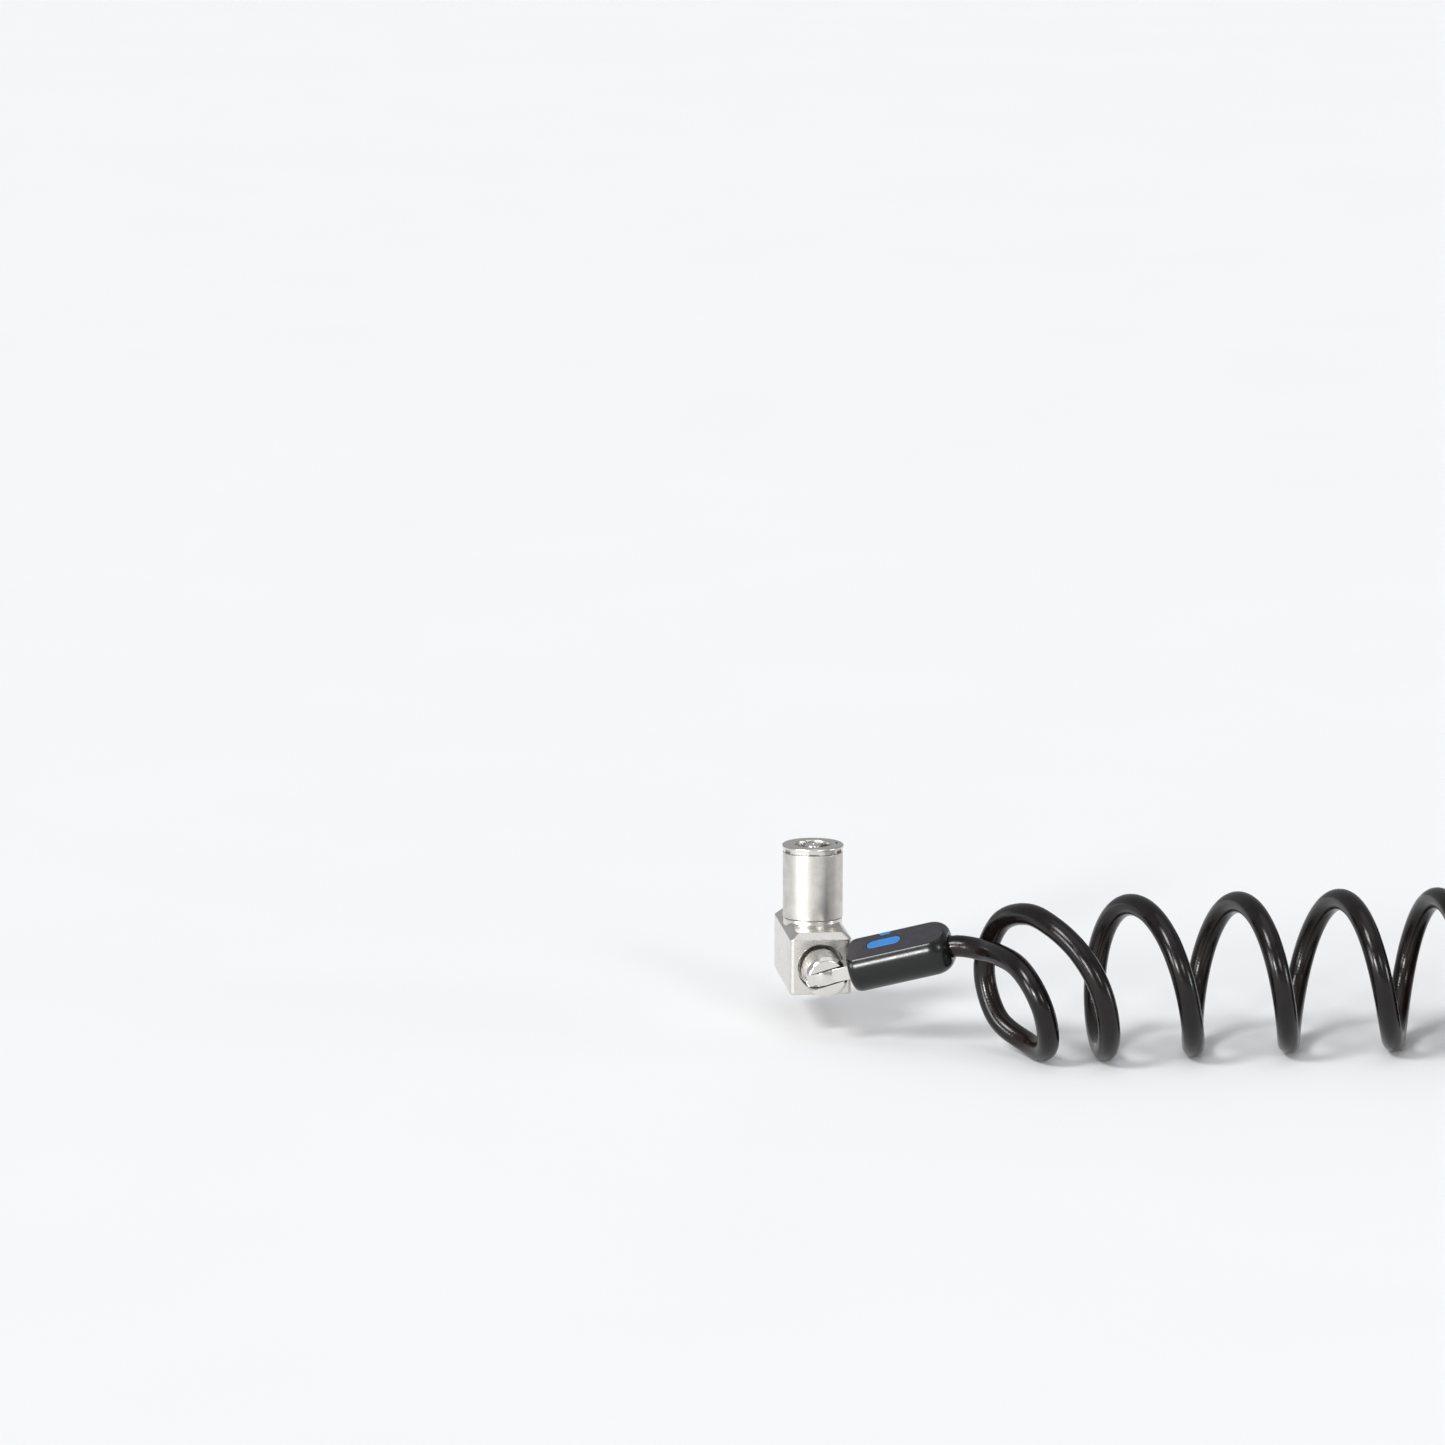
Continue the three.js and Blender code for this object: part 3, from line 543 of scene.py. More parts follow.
@dataclass
class LockBlock:
    """The die-cast block that holds the barrel, the slide, the nose and the stud."""

    half: float = 5.2
    depth: float = 22.0
    low: float = -5.2
    top: float = 5.3
    chamfer: float = 1.1
    corner: float = 0.7
    neck_radius: float = 4.95
    neck_top: float = 5.95
    axis_y: float = -11.0
    stud_z: float = -0.5
    rivets: tuple[Span, ...] = ((3.7, -7.5), (-3.7, -14.5))

    def casting(self) -> Object:
        """The outer shape: chamfered round the top, with its upright corners rounded and the neck on top."""
        block = box("block_casting", (-self.half, self.half), (-self.depth, 0), (self.low, self.top))
        bevel_where(block, lambda a, b: min(a.z, b.z) > self.top - 0.01, self.chamfer, 1)
        bevel_where(block, self.is_corner, self.corner, 5)
        bevel_where(block, lambda a, b: min(a.z, b.z) > self.top - 0.01, 0.12, 2)
        bevel_where(block, lambda a, b: max(a.z, b.z) < self.low + 0.01, 0.45, 4)
        neck_profile = [(self.neck_radius, self.top - 0.6), (self.neck_radius, self.top),
                        *arc((self.neck_radius - 0.15, self.neck_top - 0.15), 0.15, 0, 90, 3)]
        neck = turned("neck", neck_profile)
        return combine(block, moved(neck, Matrix.Translation(metres((0, self.axis_y, 0)))), Join.ADDED)

    def is_corner(self, start: Vector, end: Vector) -> bool:
        """Whether an edge is one of the four upright corners, or runs on up the chamfer."""
        return abs(start.z - end.z) > 0.5 and abs(abs(start.x) - abs(end.x)) < self.chamfer + 0.01

    def pockets(self) -> list[Object]:
        """The tools for the barrel's seat, the slide's cavity, the plates' recesses and the stud's bore."""
        front = -self.depth
        middle = (0, self.axis_y)
        tools = [
            rod("barrel_seat", 4.35, (3.3, 8), at=middle, sides=96),
            box("slide_cavity", (-3, 3), (-17, -4.3), (-7, 3.4)),
            box("base_recess", (-4.45, 4.45), (-18.05, -4.65), (-7, self.low + 1.05)),
            box("hook_pocket", (-4.35, 4.35), (-4.4, -1.9), (-1.5, 1.5)),
            box("nose_recess", (-4.55, 4.55), (-2.05, 1), (-4.05, 4.05)),
            rod("stud_pocket", 3.9, (front - 1, front + 2.7), Axis.Y, (0, self.stud_z), 96),
            rod("stud_bore", 2.05, (front + 1.7, -16), Axis.Y, (0, self.stud_z), 48),
        ]
        tools += [rod("rivet_hole", 0.52, (self.low - 1, -2.4), at=place, sides=24) for place in self.rivets]
        tools += [rod("nose_rivet_hole", 0.62, (-3.5, 1), Axis.Y, (0, z), 24) for z in (2.75, -2.75)]
        return tools

    def build(self) -> None:
        """Make the block and let it stand for the CAD one."""
        block = self.casting()
        for tool in self.pockets():
            combine(block, tool)
        hand_over(soften(block, 0.1), "lock_head", "lock_body", Finish.CAST_NICKEL)


@dataclass
class Barrel:
    """The barrel with its rim, and the key core that shows in the keyway."""

    axis_y: float = -11.0
    radius: float = 5.05
    low: float = 6.0
    top: float = 17.2
    rim_radius: float = 5.2
    rim_top: float = 18.4
    mouth: float = 3.1
    notch_lean: float = -0.09

    def placed(self, piece: Object) -> Object:
        """Move a piece from the origin to the barrel's axis."""
        return moved(piece, Matrix.Translation(metres((0, self.axis_y, 0))))

    def shell(self) -> Object:
        """The tube with its spigot, the bore of the tumblers and the narrower keyway."""
        profile = [
            (3.9, 3.5), (4.3, 3.5), (4.3, self.low),
            *arc((self.radius - 0.2, self.low + 0.2), 0.2, -90, 0, 3),
            *arc((self.radius - 0.2, self.top - 0.2), 0.2, 0, 90, 4),
            (self.mouth, self.top), (self.mouth, 13.4), (3.9, 13.4),
        ]
        tube = turned("barrel_tube", profile, hollow=True, sides=128)
        combine(tube, rod("cross_hole", 0.62, (2, 8), Axis.Y, (0, 6.9), 24))
        return soften(self.placed(tube), 0.0)

    def rim(self) -> Object:
        """The rim: a rounded lip over a skirt with six narrow notches."""
        low = self.top + 0.05
        lip = self.rim_radius - 0.34
        profile = [
            (self.mouth, low), (self.rim_radius - 0.2, low), (self.rim_radius - 0.2, low + 0.6),
            (self.rim_radius - 0.04, low + 0.65),
            *arc((lip, self.rim_top - 0.34), 0.34, 0, 90, 6),
            (self.mouth + 0.22, self.rim_top), *arc((self.mouth + 0.22, self.rim_top - 0.22), 0.22, 90, 180, 4)[1:],
        ]
        ring = turned("barrel_rim", profile, hollow=True, sides=128)
        for index in range(6):
            notch = box("notch", (-0.8, 0.8), (-7, -4.4), (low - 1, low + 0.62))
            combine(ring, moved(notch, Matrix.Rotation(index * math.pi / 3 + self.notch_lean, 4, "Z")))
        combine(ring, box("index_mark", (3.85, 4.2), (-0.6, 0.6), (self.rim_top - 0.12, self.rim_top + 1)))
        return soften(self.placed(ring), 0.0)

    def spindle(self) -> Object:
        """The centre post, with the two flats that drive the cam at its foot."""
        post = turned("keyway_post", [(1.4, 2.05), (1.4, 17.95), *arc((1.05, 17.95), 0.35, 20, 90, 4), (0.4, 18.3),
                                      (0.3, 18.15)], sides=48)
        for turn in (0, math.pi):
            combine(post, moved(box("flat", (0.95, 3), (-3, 3), (1, 3.2)), Matrix.Rotation(turn, 4, "Z")))
        return soften(self.placed(post), 0.0)

    def plug(self) -> Object:
        """The turning plug, bored for seven pins."""
        body = turned("pin_plug", [(3.85, 9.48), (3.85, 13.08), (3.73, 13.2)], sides=96)
        combine(body, rod("post_bore", 1.42, (8, 14), sides=48))
        for index in range(7):
            angle = 2 * math.pi * index / 7
            place = (2.3 * math.sin(angle), 2.3 * math.cos(angle))
            combine(body, rod("pin_bore", 0.55, (8, 14), at=place, sides=24))
        return soften(self.placed(body), 0.04, 1)

    def build(self) -> None:
        """Make the barrel's four pieces."""
        hand_over(self.shell(), "lock_head", "barrel_shell", Finish.BLASTED_NICKEL)
        rim = hand_over(self.rim(), "lock_head", "cap_ring", Finish.CAST_NICKEL)
        rim.data.materials.append(Finish.ENAMEL.material())
        for face in rim.data.polygons:
            in_mark = self.rim_top - 0.2 < face.center.z / MM < self.rim_top - 0.04 and 3.8 < face.center.x / MM < 4.25
            if in_mark and abs(face.center.y / MM - self.axis_y) < 0.65:
                face.material_index = 1
        hand_over(self.spindle(), "key_core", "key_spindle", Finish.BRIGHT_NICKEL)
        hand_over(self.plug(), "key_core", "key_plug", Finish.TURNED_BRASS)


# ---------------------------------------------------------------- swivel and cable end


@dataclass
class Swivel:
    """The slotted stud and the pin that the cable's tang hangs on."""

    spin: float = 16.0
    swing: float = 18.0
    z: float = -0.5
    radius: float = 3.5
    end: float = -29.9
    slot_half: float = 1.25
    slot_depth: float = 6.4
    pivot_y: float = -26.9
    pin_radius: float = 0.8
    pin_top: float = 2.4

    def stud_place(self) -> Matrix:
        """The stud's own frame, turned about the lock's Y axis."""
        return Matrix.Translation(metres((0, 0, self.z))) @ Matrix.Rotation(-math.radians(self.spin), 4, "Y")

    def pivot_place(self) -> Matrix:
        """The cable end's frame: the pin along Z, the cable leaving along X."""
        here = Matrix.Translation(metres((0, self.pivot_y, 0)))
        return self.stud_place() @ here @ Matrix.Rotation(-math.radians(self.swing), 4, "Z")

    def stud(self) -> Object:
        """Head, shank and the groove for the clip, then the slot and the pin's hole."""
        floor = -19.7
        profile = [
            (1.8, -15.9), (2, -16.1), (2, -16.4), (1.55, -16.4), (1.55, -16.95), (2, -16.95), (2, floor),
            (self.radius, floor), (self.radius, self.end + 0.62), (self.radius - 0.6, self.end),
        ]
        head = turned("swivel_head", [(r, -y) for r, y in profile], Axis.Z, sides=96)
        moved(head, Matrix.Rotation(math.pi / 2, 4, "X"))
        slot = box("slot", (-5, 5), (self.end - 1, self.end + self.slot_depth), (-self.slot_half, self.slot_half))
        combine(head, slot)
        combine(head, rod("pin_hole", self.pin_radius + 0.02, (-5, self.pin_top + 0.1), at=(0, self.pivot_y), sides=32))
        return moved(soften(head, 0.09), self.stud_place())

    def pin(self) -> Object:
        """The pivot pin, lightly peened at the end that shows."""
        top = self.pin_top
        profile = [(0.62, -3.3), (0.78, -3.15), (self.pin_radius, -3), (self.pin_radius, top - 0.1), (0.7, top)]
        return moved(soften(turned("pivot_rivet", profile, sides=32), 0.0), self.pivot_place())

    def build(self) -> None:
        """Make the stud and its pin."""
        hand_over(self.stud(), "stud", "swivel_stud", Finish.BRIGHT_NICKEL)
        hand_over(self.pin(), "stud", "pivot_pin", Finish.BRIGHT_NICKEL)


@dataclass
class CableEnd:
    """The tang in the stud's slot and the moulded sleeve with its two blue inlays."""

    swivel: Swivel
    tang_half: float = 1.15
    tang_radius: float = 3.15
    strap_half: float = 2.55
    start: float = 4.8
    end: float = 21.9
    dome: float = 3.2
    half_depth: float = 4.3
    half_height: float = 4.0
    back_round: float = 1.6
    tilt: float = 14.0
    hinge_y: float = 3.2
    inlay_x: float = 11.1
    inlay_drop: float = 3.4
    inlay_length: float = 5.8
    inlay_width: float = 2.15
    inlay_depth: float = 0.45
    dot_radius: float = 1.1
    dot_depth: float = 0.6
    dot_lean: float = 25.0

    def placed(self, piece: Object) -> Object:
        """Move a piece from the cable end's own frame to where it sits."""
        return moved(piece, self.swivel.pivot_place())

    def tang(self) -> Object:
        """A flat eye on the pin, the strap that leads off it, and the socket that runs on into the sleeve."""
        half = self.tang_half
        eye = rod("flat_tang", self.tang_radius, (-half, half), sides=96)
        combine(eye, box("strap", (0, 6), (-self.strap_half, self.strap_half), (-half, half)), Join.ADDED)
        combine(eye, rod("socket", 2.2, (5.2, 13.5), Axis.X, sides=48), Join.ADDED)
        combine(eye, rod("pin_hole", 0.85, (-3, 3), sides=32))
        combine(eye, rod("strand_hole", 1.32, (7.5, 20), Axis.X, sides=32))
        return self.placed(soften(eye, 0.1))

    def on_facet(self) -> Matrix:
        """Where the leaning flat top is, with its back edge along X."""
        edge = Matrix.Translation(metres((0, self.hinge_y, self.half_height)))
        return edge @ Matrix.Rotation(math.radians(self.tilt), 4, "X")

    def blank(self) -> Object:
        """The moulding with its full round front and its flat top, before it is bored."""
        y, z = self.half_depth, self.half_height
        low, high = self.start + 1.3, self.end - self.dome
        body = box("sleeve_moulding", (low, high), (-y, y), (-z, z))
        bevel_where(body, lambda a, b: max(a.y, b.y) < 0 and abs(a.x - b.x) > 1, 3.85, 18)
        bevel_where(body, lambda a, b: min(a.y, b.y) > y - 0.1 and abs(a.x - b.x) > 1, self.back_round, 8)
        round_end(body, high, self.dome, 0.5, 12)
        round_end(body, low, -1.3, 0.82, 8)
        top = box("above_facet", (0, 30), (-12, 0), (0, 6))
        return combine(body, moved(top, self.on_facet()))

    def sleeve(self) -> Object:
        """The moulding, bored for the tang, the socket and the cable and recessed for its inlays."""
        body = self.blank()
        gap = 0.1
        slot = (-self.strap_half - gap, self.strap_half + gap), (-self.tang_half - gap, self.tang_half + gap)
        combine(body, box("tang_slot", (0, 6), *slot))
        combine(body, rod("socket_bore", 2.3, (5.1, 13.7), Axis.X, sides=48))
        combine(body, rod("cable_bore", 1.9, (13.5, 23), Axis.X, sides=48))
        combine(body, self.top_pill(0.06))
        combine(body, self.dot_plug(0.06))
        return soften(body, 0.08)

    def top_pill(self, grow: float = 0.0) -> Object:
        """The round-ended inlay in the flat top, a hair above it; grown, it is its own recess."""
        x, y = self.inlay_length / 2 + grow, self.inlay_width / 2 + grow
        shape = box("inlay", (-x, x), (-y, y), (-self.inlay_depth - grow, 1 if grow else 0.04))
        bevel_where(shape, lambda a, b: abs(a.z - b.z) > 0.1, y - 0.01, 12)
        return moved(shape, self.on_facet() @ Matrix.Translation(metres((self.inlay_x, -self.inlay_drop, 0))))

    def dot_plug(self, grow: float = 0.0) -> Object:
        """The cutter of the round inlay, along a direction that leans back from straight up."""
        span = (self.back_round - self.dot_depth - grow, self.back_round + 2)
        middle = (self.inlay_x, self.half_depth - self.back_round, self.half_height - self.back_round)
        lean = Matrix.Rotation(-math.radians(self.dot_lean), 4, "X")
        return moved(rod("dot", self.dot_radius + grow, span, sides=48), Matrix.Translation(metres(middle)) @ lean)

    def build(self) -> None:
        """Make the tang, the sleeve with its matt top, whose lighter grey is partly painted reflection, and the inlays.
        """
        hand_over(self.tang(), "cable", "cable_tang", Finish.BRIGHT_NICKEL)
        sleeve = self.sleeve()
        hand_over(sleeve, "cable", "cable_sleeve", Finish.GLOSS_ABS)
        # the flat top gets the matt material: a real textured finish, with a lighter grey base colour that is partly
        # painted reflection
        sleeve.data.materials.append(Finish.MATT_ABS_WITH_PAINTED_REFLECTION.material())
        for face in sleeve.data.polygons:
            if face.normal.dot(self.on_facet().to_3x3() @ Vector((0, 0, 1))) > 0.995 and face.center.z > 1.5 * MM:
                face.material_index = 1
        self.placed(sleeve)
        dot = combine(self.blank(), self.dot_plug(), Join.SHARED)
        for piece, node in ((self.top_pill(), "sleeve_inlay_top"), (dot, "sleeve_inlay_back")):
            piece.name = piece.data.name = "blue_" + node
            hand_over(self.placed(soften(piece, 0.06)), "cable", node, Finish.BLUE_ABS)


# ---------------------------------------------------------------- cable


@dataclass
class SecurityCable:
    """The jacketed steel cable: from the sleeve round its coil to the ferrule and the end loop."""

    radius: float = 1.8
    coil_radius: float = 11.66
    coil_y: float = -43.0
    coil_z: float = 1.46
    first_turn: float = 1.14
    last_turn: float = 21.5
    steps_per_turn: int = 24
    sides: int = 20
    step: float = 0.9
    ferrule_x: Span = (186, 199)
    ferrule_y: float = -31.4
    ferrule_z: float = -9.0
    exit: Point = (20.02, -33.67, 5.24)
    # from inside the sleeve round the first, widest turn, to where the coil proper begins
    lead: tuple[Point, ...] = (
        (18.4, -33.1, 4.8), (20.9, -34, 5.3), (22.9, -35.2, 5.3), (25, -37.7, 5.2), (26.5, -41.7, 5.4),
        (28.7, -47.4, 4.7), (30.5, -50.5, 2.2), (32.1, -51.8, -1.4), (33.1, -51.1, -5.1), (33.6, -48.7, -8.2),
        (33.3, -45, -10), (31.9, -40.4, -9.9), (27.6, -35.5, -6.7), (25.7, -32.7, 1.2),
        (27.6, -35.9, 9.3), (31.2, -43.6, 12.4), (34.4, -48.8, 11.2),
    )
    # turn, place along the coil, the middle's drift in Y and in height there, and the turn's lean in degrees
    stations: tuple[Point, ...] = (
        (0.75, 30.6, -0.3, -0.26, 25), (1.0, 31.2, -0.6, -0.62, 20), (1.25, 38.1, -0.8, -0.7, 17),
        (1.5, 43.6, -0.5, 0.0, 12),
        (2.0, 49.3, -0.1, 0.15, 8), (2.5, 58.8, 0.15, 0.0, 4), (3.5, 74.9, 0.2, 0.18, -1),
        (4.5, 92.6, 0.1, 0.0, -5), (5.5, 106, 0, 0, -3), (6.0, 109.5, 0, 0, -1), (6.5, 111.7, 0, 0, 0),
        (21.5, 170.2, 0, 0, 0), (22.5, 174.1, 0, 0, 0),
    )
    # from the coil's last turn along the table to the ferrule
    tail: tuple[Point, ...] = (
        (171.1, -38.6, -10.2), (173.6, -34.8, -10.2), (177.4, -32.3, -10.2), (181.8, -31.4, -10), (185.6, -31.4, -9.2),
    )
    # one side of the end loop: distance past the ferrule, half width there, height
    loop_side: tuple[Point, ...] = (
        (0.4, 1.95, -9.1), (6, 3.4, -10), (14, 8.6, -10.2), (23, 13.2, -10.2), (32, 14, -10.2), (39.4, 9.2, -10.2),
    )
    loop_tip: Span = (42.4, -10.2)

    def along_stations(self, turn: float) -> list[float]:
        """The coil's place, drift and lean at a turn, on a smooth curve through the stations."""
        rows = self.stations
        index = max(1, min(len(rows) - 3, sum(row[0] <= turn for row in rows) - 1))
        before, start, end, after = rows[index - 1 : index + 3]
        share = (turn - start[0]) / (end[0] - start[0])
        values = []
        for column in range(1, 5):
            slopes = []
            for a, b, c in ((before, start, end), (start, end, after)):
                left = (b[column] - a[column]) / (b[0] - a[0])
                right = (c[column] - b[column]) / (c[0] - b[0])
                weight = (c[0] - b[0]) / (c[0] - a[0])
                slopes.append((left * weight + right * (1 - weight)) * (end[0] - start[0]))
            p, q, m, n = start[column], end[column], *slopes
            s2, s3 = share**2, share**3
            values.append(p * (2 * s3 - 3 * s2 + 1) + m * (s3 - 2 * s2 + share) + q * (3 * s2 - 2 * s3) + n * (s3 - s2))
        return values

    def coil_point(self, turn: float) -> Vector:
        """The middle of the cable at a turn; turn 0 is at the top, and a quarter later it is at the front."""
        x, drift, lift, lean = self.along_stations(turn)
        angle, lean = 2 * math.pi * turn, math.radians(lean)
        reach = self.coil_radius * math.sin(angle)
        return Vector((
            x + reach * math.sin(lean),
            self.coil_y + drift - reach * math.cos(lean),
            self.coil_z + lift + self.coil_radius * math.cos(angle),
        ))

    def waypoints(self) -> list[Vector]:
        """Every point that the cable's middle passes, from the sleeve to its end inside the ferrule."""
        count = round((self.last_turn - self.first_turn) * self.steps_per_turn)
        turns = [self.last_turn - (count - i) / self.steps_per_turn for i in range(count + 1)]
        low, high = self.ferrule_x
        y, z = self.ferrule_y, self.ferrule_z
        inside = [(low + 3, y + 0.9, z), (low + 8, y + 1.9, z)]
        out = [(high + x, y + half, height) for x, half, height in self.loop_side]
        tip = [(high + self.loop_tip[0], y, self.loop_tip[1])]
        back = [(high + x, y - half, height) for x, half, height in reversed(self.loop_side)]
        end = [(high - 5, y - 1.9, z), (low + 4, y - 1.9, z)]
        hand = [*self.lead], [*self.tail, *inside, *out, *tip, *back, *end]
        return [*map(Vector, hand[0]), *(self.coil_point(turn) for turn in turns), *map(Vector, hand[1])]

    def middle(self) -> list[Vector]:
        """Points at even steps on a centripetal Catmull-Rom curve through the waypoints."""
        knots = self.waypoints()
        knots = [knots[0] * 2 - knots[1], *knots, knots[-1] * 2 - knots[-2]]
        fine = []
        for a, b, c, d in zip(knots, knots[1:], knots[2:], knots[3:]):
            t1 = (b - a).length ** 0.5
            t2 = t1 + (c - b).length ** 0.5
            t3 = t2 + (d - c).length ** 0.5
            for i in range(24):
                t = t1 + (t2 - t1) * i / 24
                ab, bc, cd = a.lerp(b, t / t1), b.lerp(c, (t - t1) / (t2 - t1)), c.lerp(d, (t - t2) / (t3 - t2))
                fine.append(ab.lerp(bc, t / t2).lerp(bc.lerp(cd, (t - t1) / (t3 - t1)), (t - t1) / (t2 - t1)))
        fine.append(knots[-2])
        line, behind = [fine[0]], 0.0
        for here, there in zip(fine, fine[1:]):
            reach = (there - here).length
            while behind + reach >= self.step:
                here = here.lerp(there, (self.step - behind) / reach)
                line.append(here)
                reach, behind = (there - here).length, 0.0
            behind += reach
        return line

    def tube(self, line: list[Vector]) -> Object:
        """A round tube along a line, with a UV map in metres along it and the inside of its bends marked.

        Args:
            line: The points of its middle in millimetres.

        Returns:
            The closed tube.
        """
        ways = [(b - a).normalized() for a, b in zip(line, line[1:])]
        ways.append(ways[-1])
        side = ways[0].orthogonal().normalized()
        places, bends, faces = [], [], []
        for index, (point, way) in enumerate(zip(line, ways)):
            side = (side - way * side.dot(way)).normalized()
            other = way.cross(side)
            ahead, behind = ways[min(index + 3, len(ways) - 1)], ways[max(index - 3, 0)]
            inward = (ahead - behind) / max(1e-6, (ahead - behind).length)
            for corner in range(self.sides):
                angle = 2 * math.pi * corner / self.sides
                out = side * math.cos(angle) + other * math.sin(angle)
                places.append((point + out * self.radius) * MM)
                bends.append(max(0.0, out.dot(inward)))
        for ring in range(len(line) - 1):
            for corner in range(self.sides):
                after = (corner + 1) % self.sides
                low, high = ring * self.sides, (ring + 1) * self.sides
                faces.append((low + corner, low + after, high + after, high + corner))
        faces.append(tuple(reversed(range(self.sides))))
        faces.append(tuple(range(len(places) - self.sides, len(places))))
        mesh = bpy.data.meshes.new("jacketed_cable")
        mesh.from_pydata(places, [], faces)
        uv = mesh.uv_layers.new(name="along_cable")
        for face in mesh.polygons:
            wraps = len(face.vertices) == 4 and face.index % self.sides == self.sides - 1
            for loop in face.loop_indices:
                vertex = mesh.loops[loop].vertex_index
                ring, corner = divmod(vertex, self.sides)
                around = 1.0 if wraps and corner == 0 else corner / self.sides
                uv.data[loop].uv = (ring * self.step * MM, around)
        mark = mesh.attributes.new("inside_bend", "FLOAT", "POINT")
        mark.data.foreach_set("value", bends)
        mesh.shade_smooth()
        obj = bpy.data.objects.new(mesh.name, mesh)
        bpy.context.scene.collection.objects.link(obj)
        return obj

    def bush(self, name: str, x: Span, half_width: float, half_height: float) -> Object:
        """A pressed oval bush along X round the loop's two strands."""
        y, z = self.ferrule_y, self.ferrule_z
        shape = box(name, x, (y - half_width, y + half_width), (z - half_height, z + half_height))
        bevel_where(shape, lambda a, b: abs(a.x - b.x) > 1, half_height * 0.96, 10)
        return shape

    def ferrule(self) -> Object:
        """The pressed bush."""
        low, high = self.ferrule_x
        shape = self.bush("pressed_ferrule", (low + 1, high - 1), 3.9, 2.2)
        return soften(shape, 0.15)

    def cover(self) -> Object:
        """The moulded cover of the bush, open towards the loop."""
        low, high = self.ferrule_x
        shape = self.bush("ferrule_cover", (low, high), 4.6, 2.9)
        bevel_where(shape, lambda a, b: max(a.x, b.x) < low + 0.01, 0.6, 4)
        combine(shape, self.bush("hollow", (low + 0.7, high + 1), 4.0, 2.3))
        combine(shape, rod("cable_way", 1.9, (low - 1, low + 2), Axis.X, (self.ferrule_y, self.ferrule_z), 48))
        return soften(shape, 0.1)

    def build(self) -> None:
        line = self.middle()
        cable = self.tube(line)
        dress(cable, Finish.VINYL)
        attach(cable, "cable")
        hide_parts("cable_lead", "cable_coil_open", "cable_coil_closed", "cable_tail", "cable_loop")
        ferrule = hand_over(self.ferrule(), "cable", "loop_ferrule", Finish.PRESSED_ALUMINIUM)
        cover = hand_over(self.cover(), "cable", "loop_ferrule_cover", Finish.GLOSS_ABS)


# ---------------------------------------------------------------- pieces that keep their CAD shape


# outer and mechanical pieces whose CAD shape is right: their body, slot, finish and the rounding of their edges
REFINED = {
    "base_plate": ("lock_head", "satin_nickel", Finish.CAST_NICKEL, 0.12),
    "base_rivet_1": ("lock_head", "hardened_steel", Finish.GROUND_STEEL, 0.1),
    "base_rivet_2": ("lock_head", "hardened_steel", Finish.GROUND_STEEL, 0.1),
    "nose_plate": ("lock_head", "hardened_steel", Finish.GROUND_STEEL, 0.1),
    "nose_rivet_1": ("lock_head", "hardened_steel", Finish.GROUND_STEEL, 0.1),
    "nose_rivet_2": ("lock_head", "hardened_steel", Finish.GROUND_STEEL, 0.1),
    "jaw_right": ("right_jaw", "hardened_steel", Finish.GROUND_STEEL, 0.08),
    "jaw_left": ("left_jaw", "hardened_steel", Finish.GROUND_STEEL, 0.08),
    "lock_slide": ("slide", "hardened_steel", Finish.GROUND_STEEL, 0.06),
}
KEPT = {
    Finish.GROUND_STEEL: ("barrel_pin", "cam", "stud_washer", "stud_clip"),
    Finish.TURNED_BRASS: ("tumbler_housing", "key_pin_"),
    Finish.SPRING_STEEL: ("driver_pin_", "driver_spring_"),
    Finish.GALVANISED_STRAND: ("cable_end",),
}


def refined(node: str, width: float) -> Object:
    """A copy of a CAD piece with its flat faces merged and its edges rounded.

    Args:
        node: The CAD node.
        width: The width of the rounding in millimetres.

    Returns:
        The copy.
    """
    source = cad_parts[node]
    mesh = source.data.copy()
    mesh.transform(source.matrix_world)
    mesh.materials.clear()
    copy = bpy.data.objects.new("finished_" + node, mesh)
    bpy.context.scene.collection.objects.link(copy)
    select_only(copy)
    bpy.ops.object.mode_set(mode="EDIT")
    bpy.ops.mesh.select_all(action="SELECT")
    bpy.ops.mesh.remove_doubles(threshold=0.001 * MM)
    bpy.ops.mesh.dissolve_limited(angle_limit=math.radians(0.5))
    bpy.ops.mesh.normals_make_consistent(inside=False)
    bpy.ops.object.mode_set(mode="OBJECT")
    return soften(copy, width)


def finish_cad_pieces() -> None:
    """Refine the outer pieces, and give every CAD node that is still shown its finish."""
    for node, (body, slot, finish, width) in REFINED.items():
        hand_over(refined(node, width), body, node, finish)
    for finish, starts in KEPT.items():
        for name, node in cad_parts.items():
            if name.startswith(starts) and not node.hide_render:
                dress(node, finish)
                LOG.info("%s keeps its shape, in %s", name, finish.value.name)


# ---------------------------------------------------------------- studio


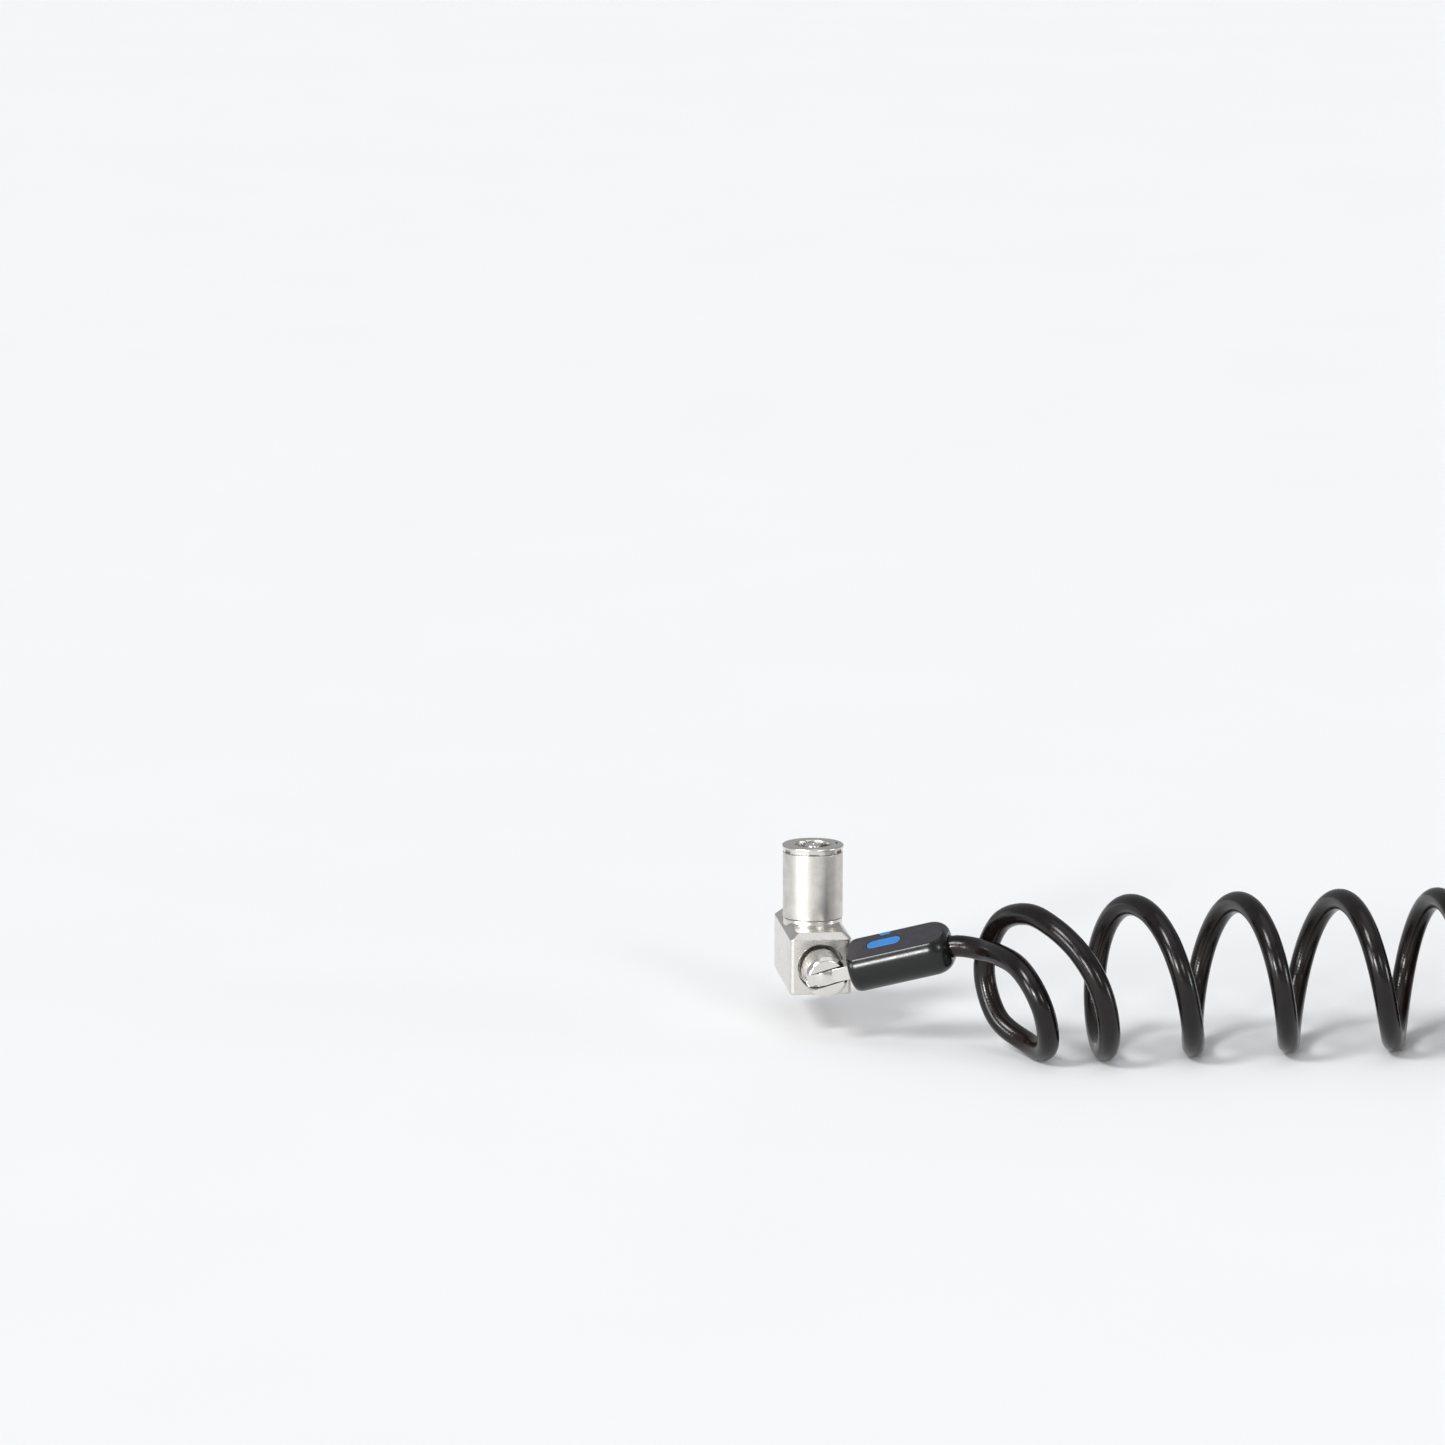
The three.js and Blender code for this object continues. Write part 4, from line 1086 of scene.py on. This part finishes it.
@dataclass
class Studio:
    """A pale table, soft lights and the camera."""

    table_z: float = -12.05
    lens: float = 127.6
    camera_at: Point = (-110.568, -847.719, 187.783)
    azimuth: float = 6.497
    fall: float = 9.998

    def table(self) -> None:
        """A wide pale table that goes on past the view."""
        bpy.ops.object.select_all(action="DESELECT")
        bpy.ops.mesh.primitive_plane_add(size=40, location=(0, 8, self.table_z * MM))
        table = settled("table")
        recipe = Recipe("pale_table")
        tone = recipe.blend(recipe.noise(400, 2), "#f4f4f4", "#f6f6f6")
        rough = recipe.spread(recipe.noise(60, 2), 0.75, 0.85)
        table.data.materials.append(recipe.dress(tone, rough, recipe.relief(recipe.noise(1), 0.0)))

    def camera(self) -> None:
        """The camera, level from side to side and looking a little down."""
        data = bpy.data.cameras.new("camera")
        data.lens = self.lens
        data.sensor_width = 36
        data.clip_start, data.clip_end = 0.05, 100
        camera = bpy.data.objects.new("camera", data)
        camera.location = metres(self.camera_at)
        camera.rotation_euler = (math.radians(90 - self.fall), 0, -math.radians(self.azimuth))
        bpy.context.scene.collection.objects.link(camera)
        bpy.context.scene.camera = camera

    def sun(self, name: str, strength: float, spread: float, azimuth: float, height: float) -> None:
        """A far softbox.

        Args:
            name: The light's name.
            strength: The light that it gives.
            spread: The angle that it fills in degrees.
            azimuth: Where it stands: 0 is at the camera's side, 90 is to the right.
            height: Its height above the table in degrees.
        """
        data = bpy.data.lights.new(name, "SUN")
        data.energy = strength
        data.angle = math.radians(spread)
        light = bpy.data.objects.new(name, data)
        light.rotation_euler = (math.radians(90 - height), 0, math.radians(azimuth))
        bpy.context.scene.collection.objects.link(light)

    def build(self) -> None:
        """Set up the table, the camera and the lights."""
        self.table()
        self.camera()
        scene = bpy.context.scene
        scene.view_settings.view_transform = "Standard"
        world = bpy.data.worlds.new("studio")
        world.use_nodes = True
        world.node_tree.nodes["Background"].inputs["Color"].default_value = linear("#e8eaee")
        world.node_tree.nodes["Background"].inputs["Strength"].default_value = 0.5
        scene.world = world
        self.sun("key", 1.6, 18, -52, 42)
        self.sun("front_left", 1.4, 10, -35, 11)
        self.sun("overhead", 0.35, 50, 10, 76)
        self.sun("left_strip", 0.9, 16, -64, 6)
        self.sun("front_right", 0.4, 12, 22, 24)
        self.sun("right_strip", 0.5, 12, 70, 9)


def main() -> None:
    """Build every sub-assembly."""
    logging.basicConfig(level=logging.INFO, format="%(message)s")
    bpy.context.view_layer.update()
    Studio().build()
    SecurityCable().build()
    LockBlock().build()
    Barrel().build()
    swivel = Swivel()
    swivel.build()
    CableEnd(swivel).build()
    finish_cad_pieces()


if __name__ == "__main__":
    main()
